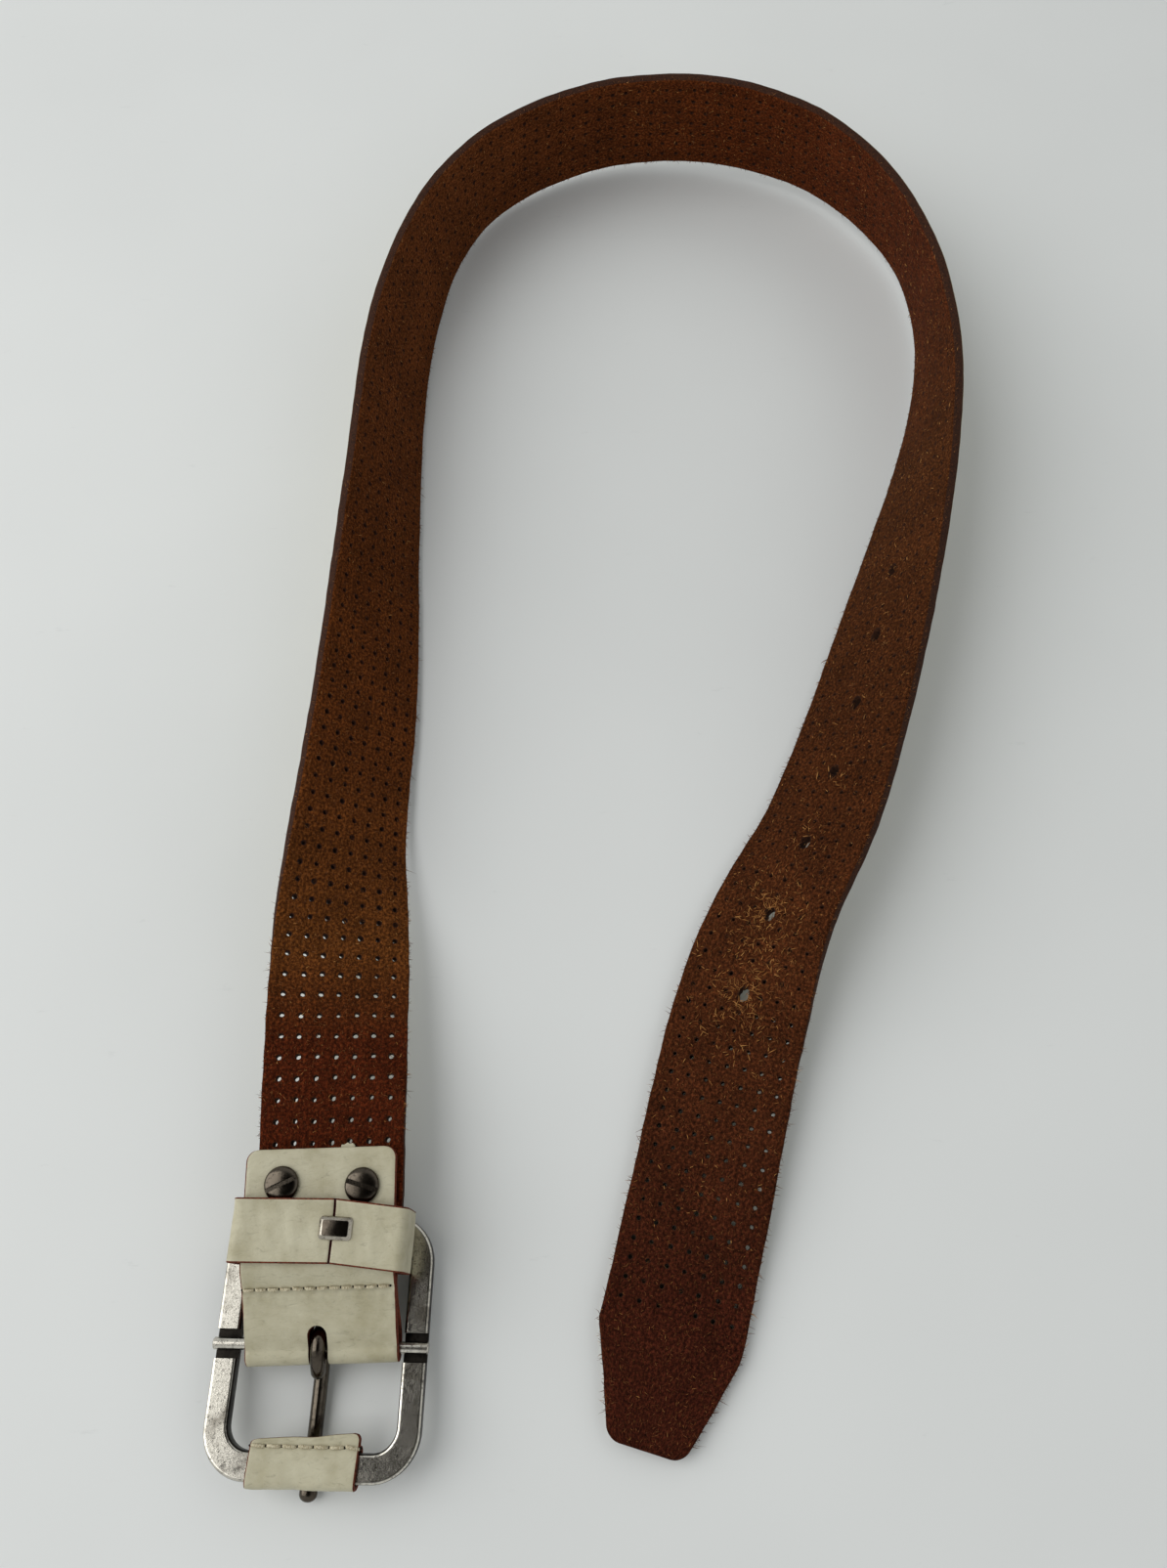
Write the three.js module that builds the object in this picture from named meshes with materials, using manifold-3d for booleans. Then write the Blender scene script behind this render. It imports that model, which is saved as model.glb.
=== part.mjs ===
// A perforated leather trouser belt with a centre-bar buckle, lying unbuckled on a table.
// Its finished front faces down and outwards, its raw back faces up and inwards. The strap
// lies flat at its tip, and stands more and more on its edge round the loop.
//
// Millimetres. +X is to the right, +Y runs away along the loop, +Z is up from the table.
// The origin is the centre of the bounding box's bottom. Everything is first laid out around
// the middle of the loop, and the finished group is then shifted to that origin.

import * as THREE from 'three';
import * as BufferGeometryUtils from 'three/addons/utils/BufferGeometryUtils.js';
import Module from 'manifold-3d';

const wasm = await Module();
wasm.setup();

// ---------------------------------------------------------------- driving dimensions

const GAP = 0.3;                        // clearance between two pieces that touch

// strap
const STRAP_WIDTH = 38.5;
const STRAP_THICK = 3.5;
const STRAP_BEVEL = 0.5;                // broken edges of the strap
const STRAP_STEP = 8;                   // length of one straight facet of the strap
const TIP_LENGTH = 26.5;                  // tapered stretch at the tip
const TIP_END_WIDTH = 20;               // width that the taper runs down to
const TIP_CORNER = 3;                   // rounding at the tip's two corners
const HOLE_COUNT = 7;                   // adjusting holes
const HOLE_PITCH = 23.8;
const HOLE_FROM_TIP = 118.8;             // tip to the nearest adjusting hole
const HOLE_WIDTH = 3.2;
const HOLE_LENGTH = 4.6;

// buckle tab: one strip of leather folded round the centre bar and over both faces of the strap
const TAB_X = -72;
const TAB_WIDTH = STRAP_WIDTH + 1;      // the tab stands a little proud of the strap's edges
const TAB_THICK = 1.6;
const TAB_TOP = 22;                     // y of the tab's far edge
const TAB_CORNER = 3;
const TAB_SEAM_Y = -12;                 // row of stitches that closes the fold
const TAB_SEAM_DROP = 1.3;              // how far it lies below the middle of the strap
const TAB_SLOT_WIDTH = 5;               // slot that the prong stands in
const TAB_SLOT_BACK_Y = -20.1;          // end of that slot on the back
const TAB_SLOT_FRONT_Y = -17.8;         // and on the front
const TAB_SLOT_SPLIT = 3.5;             // height above the centre bar where the two ends meet

// binding screws through the tab and the strap
const SCREW_X = -71.5;
const SCREW_Y = 12.8;
const SCREW_SPACING = 21;
const SCREW_SKEW = -2.6;                // degrees that the pair is out of square
const SCREW_HEAD = 9;
const SCREW_DOME = 1.5;
const SCREW_SHANK = 3;
const SCREW_END_RISE = 2;               // the shank's end above the tab's underside
const SCREW_SLOT_WIDTH = 1.2;
const SCREW_SLOT_DEPTH = 0.8;
const SCREW_TURNS = [23, -18];          // degrees that each slot is turned
const POST_BARREL = 5;
const POST_HEAD_THICK = 1.2;
const POST_BORE_FLOOR = 0.8;            // thickness of the bore's closed end

// keeper loop
const KEEPER_X = -71;
const KEEPER_Y = -0.3;
const KEEPER_SKEW = -5;
const KEEPER_BAND = 15.2;
const KEEPER_WALL = 1.7;
const KEEPER_INNER_WIDTH = STRAP_WIDTH + 5.5;
const KEEPER_CORNER = 2.4;
const KEEPER_SEAM_X = 3.1;              // from the keeper's middle to its butt seam
const TIP_ROOM = 4.3;                   // room for the belt's tip under the keeper
const STAPLE_X = 3.9;
const STAPLE_Y = 1.2;
const STAPLE_LENGTH = 8.5;
const STAPLE_WIDTH = 5.7;
const STAPLE_THICK = 1;
const STAPLE_LEG = 1;                   // thickness of each leg
const STAPLE_LEG_WIDTH = 3.4;

// buckle
const BUCKLE_X = -72.8;                 // middle of the centre bar
const BUCKLE_Y = -26.2;
const BUCKLE_SKEW = -3;                 // degrees that the buckle hangs out of square
const BUCKLE_TILT = 5.5;                // degrees that its free end is raised, over the prong
const FRAME_RAIL = 6.1;                 // width of each side rail
const FRAME_PLAY = 1.65;                // between the tab and each side rail
const FRAME_WIDTH = TAB_WIDTH + 2 * (FRAME_PLAY + FRAME_RAIL);
const FRAME_END = 6.8;                  // width of the free end bar and of the heel bar
const FRAME_FORE = 30.9;                // centre bar to the free end's outer face
const FRAME_AFT = 32.3;                 // centre bar to the heel bar's outer face
const FRAME_CORNER = 12;
const FRAME_WINDOW_CORNER = 6;
const FRAME_THICK = 4.5;
const FRAME_BEVEL = 0.8;
const NOTCH_LENGTH = 7;                 // notch in each rail that the centre bar lies in
const BAR_DIAMETER = 3;
const BAR_LENGTH = FRAME_WIDTH + 1;     // its ends just show past the rails
const BAR_PROUD = 0.8;                  // how far the bar stands out of the frame's back

// prong: round wire hooked round the centre bar
const PRONG_WIRE = 3.8;
const PRONG_REACH = 36.3;               // centre bar to the tip of the prong
const PRONG_DROP_Y = 19;                // where the wire comes down to the table
const PRONG_TAIL_Y = 6.6;               // where the hook's cut end stops

// leather wrap on the free end bar
const WRAP_X = -0.8;
const WRAP_LENGTH = 28.5;
const WRAP_THICK = 1.2;
const WRAP_FLAP = 3;                    // how far its stitched flap reaches into the window

// thread
const THREAD = 0.8;
const STITCH = 3.1;

// Where the middle of the strap runs: x, y, the height of its lowest edge above the table,
// and its lean in degrees, from 0 where its back faces straight up to 90 where it stands on edge.
const ROUTE = [
  [-70, -5, 14.8, 0],
  [-70, 8, 14.8, 0],
  [-70, 20, 14.8, 0],
  [-70, 25, 14.8, 0],
  [-70, 69, 8.6, 18],
  [-69, 110, 1.6, 44],
  [-65, 159, 0, 52],
  [-62, 224, 0, 65],
  [-59, 277, 0, 71],
  [-53, 310, 0.2, 77],
  [-43, 338, 0.7, 85],
  [-27, 360, 1.4, 92],
  [-3, 375, 2.3, 95],
  [24, 382, 3.4, 97],
  [58, 379, 4.6, 98],
  [89, 364, 5, 100],
  [109, 342, 4.8, 101],
  [120, 318, 4.2, 100],
  [124, 287, 3.2, 92],
  [119, 248, 1.6, 78],
  [98, 182, 0.3, 57],
  [72, 116, 0, 42],
  [52, 81, 0, 31],
  [41, 52, 0, 14],
  [28, 7, 0, 5],
  [18.4, -26, 0, 0],
  [14.2, -40, 0, 0],
  [9.95, -53.35, 0, 0],
];

// ---------------------------------------------------------------- heights that follow

const SIN_TILT = Math.sin(THREE.MathUtils.degToRad(BUCKLE_TILT));
const COS_TILT = Math.cos(THREE.MathUtils.degToRad(BUCKLE_TILT));
const FRAME_BACK = BAR_DIAMETER / 2 - BAR_PROUD;          // frame's back above the bar's axis
const FRAME_FRONT = FRAME_BACK - FRAME_THICK;
const BAR_Z = -FRAME_FRONT * COS_TILT + FRAME_AFT * SIN_TILT;

const STRAP_FRONT_Z = ROUTE[0][2];
const STRAP_BACK_Z = STRAP_FRONT_Z + STRAP_THICK;
const TAB_FRONT_Z = STRAP_FRONT_Z - GAP - TAB_THICK / 2;  // middle of the tab's front layer
const TAB_BACK_Z = STRAP_BACK_Z + GAP + TAB_THICK / 2;    // middle of its back layer
const TAB_UNDERSIDE = TAB_FRONT_Z - TAB_THICK / 2;
const TAB_TOPSIDE = TAB_BACK_Z + TAB_THICK / 2;
const KEEPER_FLOOR = TAB_UNDERSIDE - TIP_ROOM;            // inside faces of the keeper
const KEEPER_CEILING = TAB_TOPSIDE + GAP;
const STRAP_END = ROUTE[0][1];
const TAB_SEAM_Z = (TAB_BACK_Z + TAB_FRONT_Z) / 2 - TAB_SEAM_DROP;
const TAB_SEAM_HALF = TAB_THICK / 2 + GAP / 2;            // from there to each layer's middle

// ---------------------------------------------------------------- materials

const leatherFront = new THREE.MeshStandardMaterial({ color: 0xd8cfbb, roughness: 0.55, metalness: 0 });
const suedeBack = new THREE.MeshStandardMaterial({ color: 0x6b3a22, roughness: 0.95, metalness: 0 });
const nickel = new THREE.MeshStandardMaterial({ color: 0x9a9691, roughness: 0.4, metalness: 1 });
const darkNickel = new THREE.MeshStandardMaterial({ color: 0x55504c, roughness: 0.35, metalness: 1 });
const threadMaterial = new THREE.MeshStandardMaterial({ color: 0xcfc6b0, roughness: 0.9, metalness: 0 });

// ---------------------------------------------------------------- geometry helpers

function radians(degrees) {
  return THREE.MathUtils.degToRad(degrees);
}

// A closed skin over a list of rings that all have the same number of points.
function loft(rings) {
  const sides = rings[0].length;
  const positions = rings.flat().flatMap((point) => [point.x, point.y, point.z]);
  const index = [];
  for (let i = 0; i < rings.length - 1; i += 1) {
    for (let j = 0; j < sides; j += 1) {
      const k = (j + 1) % sides;
      const [a, b] = [i * sides + j, i * sides + k];
      const [c, d] = [a + sides, b + sides];
      index.push(a, b, d, a, d, c);
    }
  }
  const last = (rings.length - 1) * sides;
  for (let j = 1; j < sides - 1; j += 1) {
    index.push(0, j + 1, j);
    index.push(last, last + j, last + j + 1);
  }
  const geometry = new THREE.BufferGeometry();
  geometry.setAttribute('position', new THREE.Float32BufferAttribute(positions, 3));
  geometry.setIndex(index);
  return geometry;
}

function solid(geometry) {
  const bare = geometry.clone();
  bare.deleteAttribute('normal');
  bare.deleteAttribute('uv');
  const merged = BufferGeometryUtils.mergeVertices(bare, 1e-4);
  return new wasm.Manifold(new wasm.Mesh({
    numProp: 3,
    vertProperties: new Float32Array(merged.attributes.position.array),
    triVerts: new Uint32Array(merged.index.array),
  }));
}

function geometryOf(body) {
  const mesh = body.getMesh();
  const geometry = new THREE.BufferGeometry();
  geometry.setAttribute('position', new THREE.Float32BufferAttribute(mesh.vertProperties, 3));
  geometry.setIndex(Array.from(mesh.triVerts));
  return geometry;
}

function cut(geometry, tools) {
  const body = tools.reduce((left, tool) => left.subtract(solid(tool)), solid(geometry));
  return geometryOf(body);
}

function roundedRectangle(width, height, radius) {
  const [x, y] = [width / 2, height / 2];
  const shape = new THREE.Shape();
  shape.moveTo(x, -y + radius);
  shape.lineTo(x, y - radius);
  shape.absarc(x - radius, y - radius, radius, 0, Math.PI / 2);
  shape.lineTo(-x + radius, y);
  shape.absarc(-x + radius, y - radius, radius, Math.PI / 2, Math.PI);
  shape.lineTo(-x, -y + radius);
  shape.absarc(-x + radius, -y + radius, radius, Math.PI, 1.5 * Math.PI);
  shape.lineTo(x - radius, -y);
  shape.absarc(x - radius, -y + radius, radius, 1.5 * Math.PI, 2 * Math.PI);
  return shape;
}

// A flat shape, pushed along +Z from z = 0.
function plate(shape, depth, curveSegments = 6) {
  return new THREE.ExtrudeGeometry(shape, { depth, bevelEnabled: false, curveSegments });
}

// A smooth line through flat points, with the same number of steps between each two.
function smoothLine(points, steps) {
  const curve = new THREE.CatmullRomCurve3(
    points.map(([x, y]) => new THREE.Vector3(x, y, 0)), false, 'centripetal');
  return curve.getPoints(steps * (points.length - 1)).map(({ x, y }) => new THREE.Vector2(x, y));
}

// A shape drawn in the YZ plane, pushed along X and centred on it.
function profileAcross(shape, width, curveSegments = 6) {
  const geometry = plate(shape, width, curveSegments);
  geometry.translate(0, 0, -width / 2);
  geometry.applyMatrix4(new THREE.Matrix4().makeBasis(
    new THREE.Vector3(0, 1, 0),
    new THREE.Vector3(0, 0, 1),
    new THREE.Vector3(1, 0, 0),
  ));
  return geometry;
}

// The outline of a strip of even thickness round a line of points.
function stripOutline(line, thickness) {
  const side = (sign) => line.map((point, i) => {
    const before = line[Math.max(i - 1, 0)];
    const after = line[Math.min(i + 1, line.length - 1)];
    const along = new THREE.Vector2().subVectors(after, before).normalize();
    const offset = sign * thickness / 2;
    return new THREE.Vector2(point.x - along.y * offset, point.y + along.x * offset);
  });
  return [...side(-1), ...side(1).reverse()];
}

function box(width, length, height, x, y, z) {
  const geometry = new THREE.BoxGeometry(width, length, height);
  geometry.translate(x, y, z);
  return geometry;
}

// A cylinder that stands along Z from z0 to z1.
function pillar(radius, x, y, z0, z1, sides = 20) {
  const geometry = new THREE.CylinderGeometry(radius, radius, z1 - z0, sides);
  geometry.rotateX(Math.PI / 2);
  geometry.translate(x, y, (z0 + z1) / 2);
  return geometry;
}

// A round wire along points in a plane of constant x; each point holds y, z and the wire's radius.
function wire(points, x, sides = 12) {
  const rings = points.map(([y, z, radius], i) => {
    const before = points[Math.max(i - 1, 0)];
    const after = points[Math.min(i + 1, points.length - 1)];
    const along = new THREE.Vector3(0, after[0] - before[0], after[1] - before[1]).normalize();
    const across = new THREE.Vector3(1, 0, 0);
    const up = new THREE.Vector3().crossVectors(along, across);
    return Array.from({ length: sides }, (_, j) => {
      const angle = j / sides * 2 * Math.PI;
      return new THREE.Vector3(x, y, z)
        .addScaledVector(across, radius * Math.cos(angle))
        .addScaledVector(up, -radius * Math.sin(angle));
    });
  });
  return loft(rings.map((ring) => ring.reverse()));
}

// ---------------------------------------------------------------- the strap's course

// Distances along the plan of the route, one for each of its points.
const routeMarks = ROUTE.reduce((marks, point, i) => {
  if (i === 0) return [0];
  const before = ROUTE[i - 1];
  return [...marks, marks[i - 1] + Math.hypot(point[0] - before[0], point[1] - before[1])];
}, []);
const strapLength = routeMarks[routeMarks.length - 1];

function routeSlope(i) {
  const [before, after] = [Math.max(i - 1, 0), Math.min(i + 1, ROUTE.length - 1)];
  const span = routeMarks[after] - routeMarks[before];
  return ROUTE[i].map((_, channel) => (ROUTE[after][channel] - ROUTE[before][channel]) / span);
}

// The route at a distance along it, as a smooth curve through all its points.
function routeAt(distance) {
  let i = 0;
  while (i < ROUTE.length - 2 && routeMarks[i + 1] <= distance) i += 1;
  const span = routeMarks[i + 1] - routeMarks[i];
  const u = (distance - routeMarks[i]) / span;
  const [slope0, slope1] = [routeSlope(i), routeSlope(i + 1)];
  const weights = [
    2 * u ** 3 - 3 * u ** 2 + 1,
    (u ** 3 - 2 * u ** 2 + u) * span,
    -2 * u ** 3 + 3 * u ** 2,
    (u ** 3 - u ** 2) * span,
  ];
  return ROUTE[i].map((value, channel) => weights[0] * value + weights[1] * slope0[channel]
    + weights[2] * ROUTE[i + 1][channel] + weights[3] * slope1[channel]);
}

// The strap's middle, with its directions along, across (to the outer edge) and out of its back.
function strapFrame(distance) {
  const [x, y, lift, lean] = routeAt(distance);
  const reach = 0.5;
  const ahead = routeAt(Math.min(distance + reach, strapLength));
  const behind = routeAt(Math.max(distance - reach, 0));
  const along = new THREE.Vector3(ahead[0] - behind[0], ahead[1] - behind[1], 0).normalize();
  const outward = new THREE.Vector3(-along.y, along.x, 0);
  const up = new THREE.Vector3(0, 0, 1);
  const [sin, cos] = [Math.sin(radians(lean)), Math.cos(radians(lean))];
  const across = outward.clone().multiplyScalar(cos).addScaledVector(up, sin);
  const back = up.clone().multiplyScalar(cos).addScaledVector(outward, -sin);
  const z = lift + STRAP_WIDTH / 2 * Math.abs(sin) + STRAP_THICK / 2 * Math.abs(cos);
  return { middle: new THREE.Vector3(x, y, z), along, across, back };
}

function strapHalfWidth(distance) {
  const fromTip = strapLength - distance;
  const full = STRAP_WIDTH / 2;
  if (fromTip >= TIP_LENGTH) return full;
  const taper = TIP_END_WIDTH / 2 + (full - TIP_END_WIDTH / 2) * fromTip / TIP_LENGTH;
  if (fromTip >= TIP_CORNER) return taper;
  return taper - TIP_CORNER + Math.sqrt(TIP_CORNER ** 2 - (TIP_CORNER - fromTip) ** 2);
}

function strapRing(distance) {
  const { middle, across, back } = strapFrame(distance);
  const w = strapHalfWidth(distance);
  const t = STRAP_THICK / 2;
  const corners = [
    [w, t - STRAP_BEVEL], [w - STRAP_BEVEL, t], [STRAP_BEVEL - w, t], [-w, t - STRAP_BEVEL],
    [-w, STRAP_BEVEL - t], [STRAP_BEVEL - w, -t], [w - STRAP_BEVEL, -t], [w, STRAP_BEVEL - t],
  ];
  return corners.map(([a, b]) => middle.clone().addScaledVector(across, a).addScaledVector(back, b));
}

// An oval plug through the strap, long way along it.
function adjustingHole(distance) {
  const { middle, along, across, back } = strapFrame(distance);
  const shape = new THREE.Shape();
  shape.absellipse(0, 0, HOLE_LENGTH / 2, HOLE_WIDTH / 2, 0, 2 * Math.PI);
  const plug = plate(shape, 2 * STRAP_THICK, 7);
  plug.translate(0, 0, -STRAP_THICK);
  plug.applyMatrix4(new THREE.Matrix4().makeBasis(along, across, back).setPosition(middle));
  return plug;
}

function screwPlaces() {
  return [-1, 1].map((side) => {
    const reach = side * SCREW_SPACING / 2;
    const skew = radians(SCREW_SKEW);
    return { x: SCREW_X + reach * Math.cos(skew), y: SCREW_Y + reach * Math.sin(skew) };
  });
}

// ---------------------------------------------------------------- pieces

function makeStrap() {
  const straight = strapLength - TIP_LENGTH;
  const count = Math.round(straight / STRAP_STEP);
  const distances = Array.from({ length: count + 1 }, (_, i) => straight * i / count);
  for (const share of [0.7, 0.45, 0.25]) distances.push(strapLength - TIP_LENGTH * share);
  for (const share of [0.6, 0.3, 0.1, 0]) distances.push(strapLength - TIP_CORNER * share);
  const holes = Array.from({ length: HOLE_COUNT },
    (_, i) => adjustingHole(strapLength - HOLE_FROM_TIP - i * HOLE_PITCH));
  const screws = screwPlaces().map(({ x, y }) => (
    pillar(POST_BARREL / 2 + GAP, x, y, STRAP_FRONT_Z - 1, STRAP_BACK_Z + 1)));
  return cut(loft(distances.map(strapRing)), [...holes, ...screws]);
}

// The middle of the tab's leather, from its back layer round the bar to its front layer.
function tabLine() {
  const radius = BAR_DIAMETER / 2 + GAP + TAB_THICK / 2;
  const skewPlay = TAB_WIDTH / 2 * Math.sin(radians(Math.abs(BUCKLE_SKEW)));
  const foldY = BUCKLE_Y - skewPlay;
  const layer = (z) => [[TAB_TOP, z], [TAB_TOP / 2, z], [STRAP_END + 4, z], [STRAP_END - 1.6, z]];
  const arc = (y, angles) => angles.map((angle) => (
    [y + radius * Math.cos(radians(angle)), BAR_Z + radius * Math.sin(radians(angle))]));
  const fold = [...arc(foldY, [75, 105, 135, 165, 195, 225, 255]), ...arc(BUCKLE_Y + skewPlay, [275, 300])];
  const points = [
    ...layer(TAB_BACK_Z),
    [TAB_SEAM_Y, TAB_SEAM_Z + TAB_SEAM_HALF],
    ...fold,
    [TAB_SEAM_Y, TAB_SEAM_Z - TAB_SEAM_HALF],
    ...layer(TAB_FRONT_Z).reverse(),
  ];
  return smoothLine(points, 4);
}

function makeTab() {
  const strip = profileAcross(new THREE.Shape(stripOutline(tabLine(), TAB_THICK)), TAB_WIDTH);
  strip.translate(TAB_X, 0, 0);
  const foldEnd = BUCKLE_Y - 10;
  const outline = roundedRectangle(TAB_WIDTH, TAB_TOP - foldEnd, TAB_CORNER);
  const plan = plate(outline, 40);
  plan.translate(TAB_X, (TAB_TOP + foldEnd) / 2, -5);
  const split = BAR_Z + TAB_SLOT_SPLIT;
  const slotEnds = [[TAB_SLOT_BACK_Y, split, 40], [TAB_SLOT_FRONT_Y, -10, split]];
  const slots = slotEnds.flatMap(([end, z0, z1]) => {
    const arcY = end - TAB_SLOT_WIDTH / 2;
    const far = BUCKLE_Y - 20;
    return [
      pillar(TAB_SLOT_WIDTH / 2, BUCKLE_X, arcY, z0, z1),
      box(TAB_SLOT_WIDTH, arcY - far, z1 - z0, BUCKLE_X, (arcY + far) / 2, (z0 + z1) / 2),
    ];
  });
  const holes = screwPlaces().map(({ x, y }) => pillar(POST_BARREL / 2 + GAP, x, y, 0, 30));
  return cut(geometryOf(solid(strip).intersect(solid(plan))), [...slots, ...holes]);
}

function makeScrew(x, y, turn) {
  const radius = SCREW_HEAD / 2;
  const tip = TAB_UNDERSIDE + SCREW_END_RISE;
  const base = TAB_TOPSIDE + GAP;
  const profile = [
    [0, tip], [SCREW_SHANK / 2, tip], [SCREW_SHANK / 2, base], [radius, base],
    [radius, base + 0.35], [radius * 0.85, base + SCREW_DOME * 0.62],
    [radius * 0.5, base + SCREW_DOME * 0.93], [0, base + SCREW_DOME],
  ].map(([r, z]) => new THREE.Vector2(r, z));
  const body = new THREE.LatheGeometry(profile, 28);
  body.rotateX(Math.PI / 2);
  const slot = box(SCREW_HEAD + 2, SCREW_SLOT_WIDTH, 4, 0, 0, base + SCREW_DOME - SCREW_SLOT_DEPTH + 2);
  slot.rotateZ(radians(turn));
  const geometry = cut(body, [slot]);
  geometry.translate(x, y, 0);
  return geometry;
}

function makePost(x, y) {
  const bore = SCREW_SHANK / 2 + GAP;
  const top = TAB_TOPSIDE - GAP;
  const headTop = TAB_UNDERSIDE - GAP;
  const boreFloor = headTop + POST_BORE_FLOOR;
  const profile = [
    [0, headTop - POST_HEAD_THICK], [SCREW_HEAD / 2 - 0.5, headTop - POST_HEAD_THICK],
    [SCREW_HEAD / 2, headTop - POST_HEAD_THICK + 0.5], [SCREW_HEAD / 2, headTop],
    [POST_BARREL / 2, headTop], [POST_BARREL / 2, top], [bore, top], [bore, boreFloor], [0, boreFloor],
  ].map(([r, z]) => new THREE.Vector2(r, z));
  const geometry = new THREE.LatheGeometry(profile, 24);
  geometry.rotateX(Math.PI / 2);
  geometry.translate(x, y, 0);
  return geometry;
}

// A row of stitches along X that dips into the leather between one stitch and the next.
function makeThread(length) {
  const count = Math.floor(length / STITCH);
  const stepsPerStitch = 6;
  const dip = 0.25;
  const points = Array.from({ length: count * stepsPerStitch + 1 }, (_, i) => {
    const share = i / stepsPerStitch;
    const height = THREAD / 2 + dip * Math.abs(Math.sin(Math.PI * share));
    return [(share - count / 2) * STITCH, height, THREAD / 2];
  });
  const geometry = wire(points, 0, 6);
  geometry.rotateZ(-Math.PI / 2);
  return geometry;
}

function makeKeeper() {
  const height = KEEPER_CEILING - KEEPER_FLOOR;
  const outer = roundedRectangle(
    KEEPER_INNER_WIDTH + 2 * KEEPER_WALL, height + 2 * KEEPER_WALL, KEEPER_CORNER);
  outer.holes.push(roundedRectangle(KEEPER_INNER_WIDTH, height, KEEPER_CORNER - KEEPER_WALL));
  const band = plate(outer, KEEPER_BAND);
  band.translate(0, 0, -KEEPER_BAND / 2);
  band.rotateX(Math.PI / 2);
  band.translate(0, 0, (KEEPER_CEILING + KEEPER_FLOOR) / 2);
  const seam = box(GAP, KEEPER_BAND + 2, 2 * KEEPER_WALL, KEEPER_SEAM_X, 0, KEEPER_CEILING + KEEPER_WALL / 2);
  const legs = stapleLegs().map((x) => box(STAPLE_LEG + 2 * GAP, STAPLE_LEG_WIDTH + 2 * GAP,
    2 * KEEPER_WALL, x, STAPLE_Y, KEEPER_CEILING + KEEPER_WALL / 2));
  return cut(band, [seam, ...legs]);
}

function stapleLegs() {
  const reach = STAPLE_LENGTH / 2 - STAPLE_LEG / 2 - 0.5;
  return [STAPLE_X - reach, STAPLE_X + reach];
}

function makeStaple() {
  const base = KEEPER_CEILING + KEEPER_WALL + GAP;
  const bevel = 0.4;
  const crown = new THREE.ExtrudeGeometry(
    roundedRectangle(STAPLE_LENGTH - 2 * bevel, STAPLE_WIDTH - 2 * bevel, 1), {
      depth: STAPLE_THICK - 2 * bevel, bevelSize: bevel, bevelThickness: bevel, bevelSegments: 1,
      curveSegments: 3,
    });
  crown.translate(STAPLE_X, STAPLE_Y, base + bevel);
  const legLength = KEEPER_WALL + GAP;
  const legs = stapleLegs().map((x) => (
    box(STAPLE_LEG, STAPLE_LEG_WIDTH, legLength, x, STAPLE_Y, base + bevel - legLength / 2)));
  const body = legs.reduce((left, leg) => left.add(solid(leg)), solid(crown));
  return geometryOf(body);
}

function makeFrame() {
  const length = FRAME_FORE + FRAME_AFT;
  const inset = FRAME_BEVEL;
  const outline = roundedRectangle(FRAME_WIDTH - 2 * inset, length - 2 * inset, FRAME_CORNER - inset);
  outline.holes.push(roundedRectangle(FRAME_WIDTH - 2 * FRAME_RAIL + 2 * inset,
    length - 2 * FRAME_END + 2 * inset, FRAME_WINDOW_CORNER + inset));
  const ring = new THREE.ExtrudeGeometry(outline, {
    depth: FRAME_THICK - 2 * FRAME_BEVEL, bevelSize: FRAME_BEVEL, bevelThickness: FRAME_BEVEL,
    bevelSegments: 1, curveSegments: 8,
  });
  ring.translate(0, (FRAME_AFT - FRAME_FORE) / 2, FRAME_FRONT + FRAME_BEVEL);
  const floor = -BAR_DIAMETER / 2 - GAP;
  const notches = [-1, 1].map((side) => (
    box(FRAME_RAIL + 4, NOTCH_LENGTH, 6, side * (FRAME_WIDTH - FRAME_RAIL) / 2, 0, floor + 3)));
  return cut(ring, notches);
}

function makeCentreBar() {
  const bar = new THREE.CylinderGeometry(BAR_DIAMETER / 2, BAR_DIAMETER / 2, BAR_LENGTH, 20);
  bar.rotateZ(Math.PI / 2);
  return bar;
}

// The prong's wire, in the plane through the bar's axis at z = 0: a hook over the bar, then
// a shaft that comes down to the table and runs on level under the free end bar.
function makeProng() {
  const radius = PRONG_WIRE / 2;
  const hook = BAR_DIAMETER / 2 + GAP + radius;
  const level = radius - BAR_Z + 0.05;
  const path = [[-PRONG_TAIL_Y, 0.1], [-PRONG_TAIL_Y + 2.2, 2.1]];
  for (let angle = 100; angle >= -100; angle -= 25) {
    path.push([hook * Math.cos(radians(angle)), hook * Math.sin(radians(angle))]);
  }
  path.push([-PRONG_DROP_Y * 0.45, -hook + (level + hook) * 0.55], [-PRONG_DROP_Y, level]);
  path.push([-(PRONG_REACH + PRONG_DROP_Y) / 2, level], [-PRONG_REACH + radius, level]);
  const points = smoothLine(path, 3).map((point) => [point.x, point.y, radius]);
  for (const share of [0.5, 0.85]) {
    points.push([-PRONG_REACH + radius * (1 - share), level, radius * Math.sqrt(1 - share ** 2)]);
  }
  return wire(points, 0);
}

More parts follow.
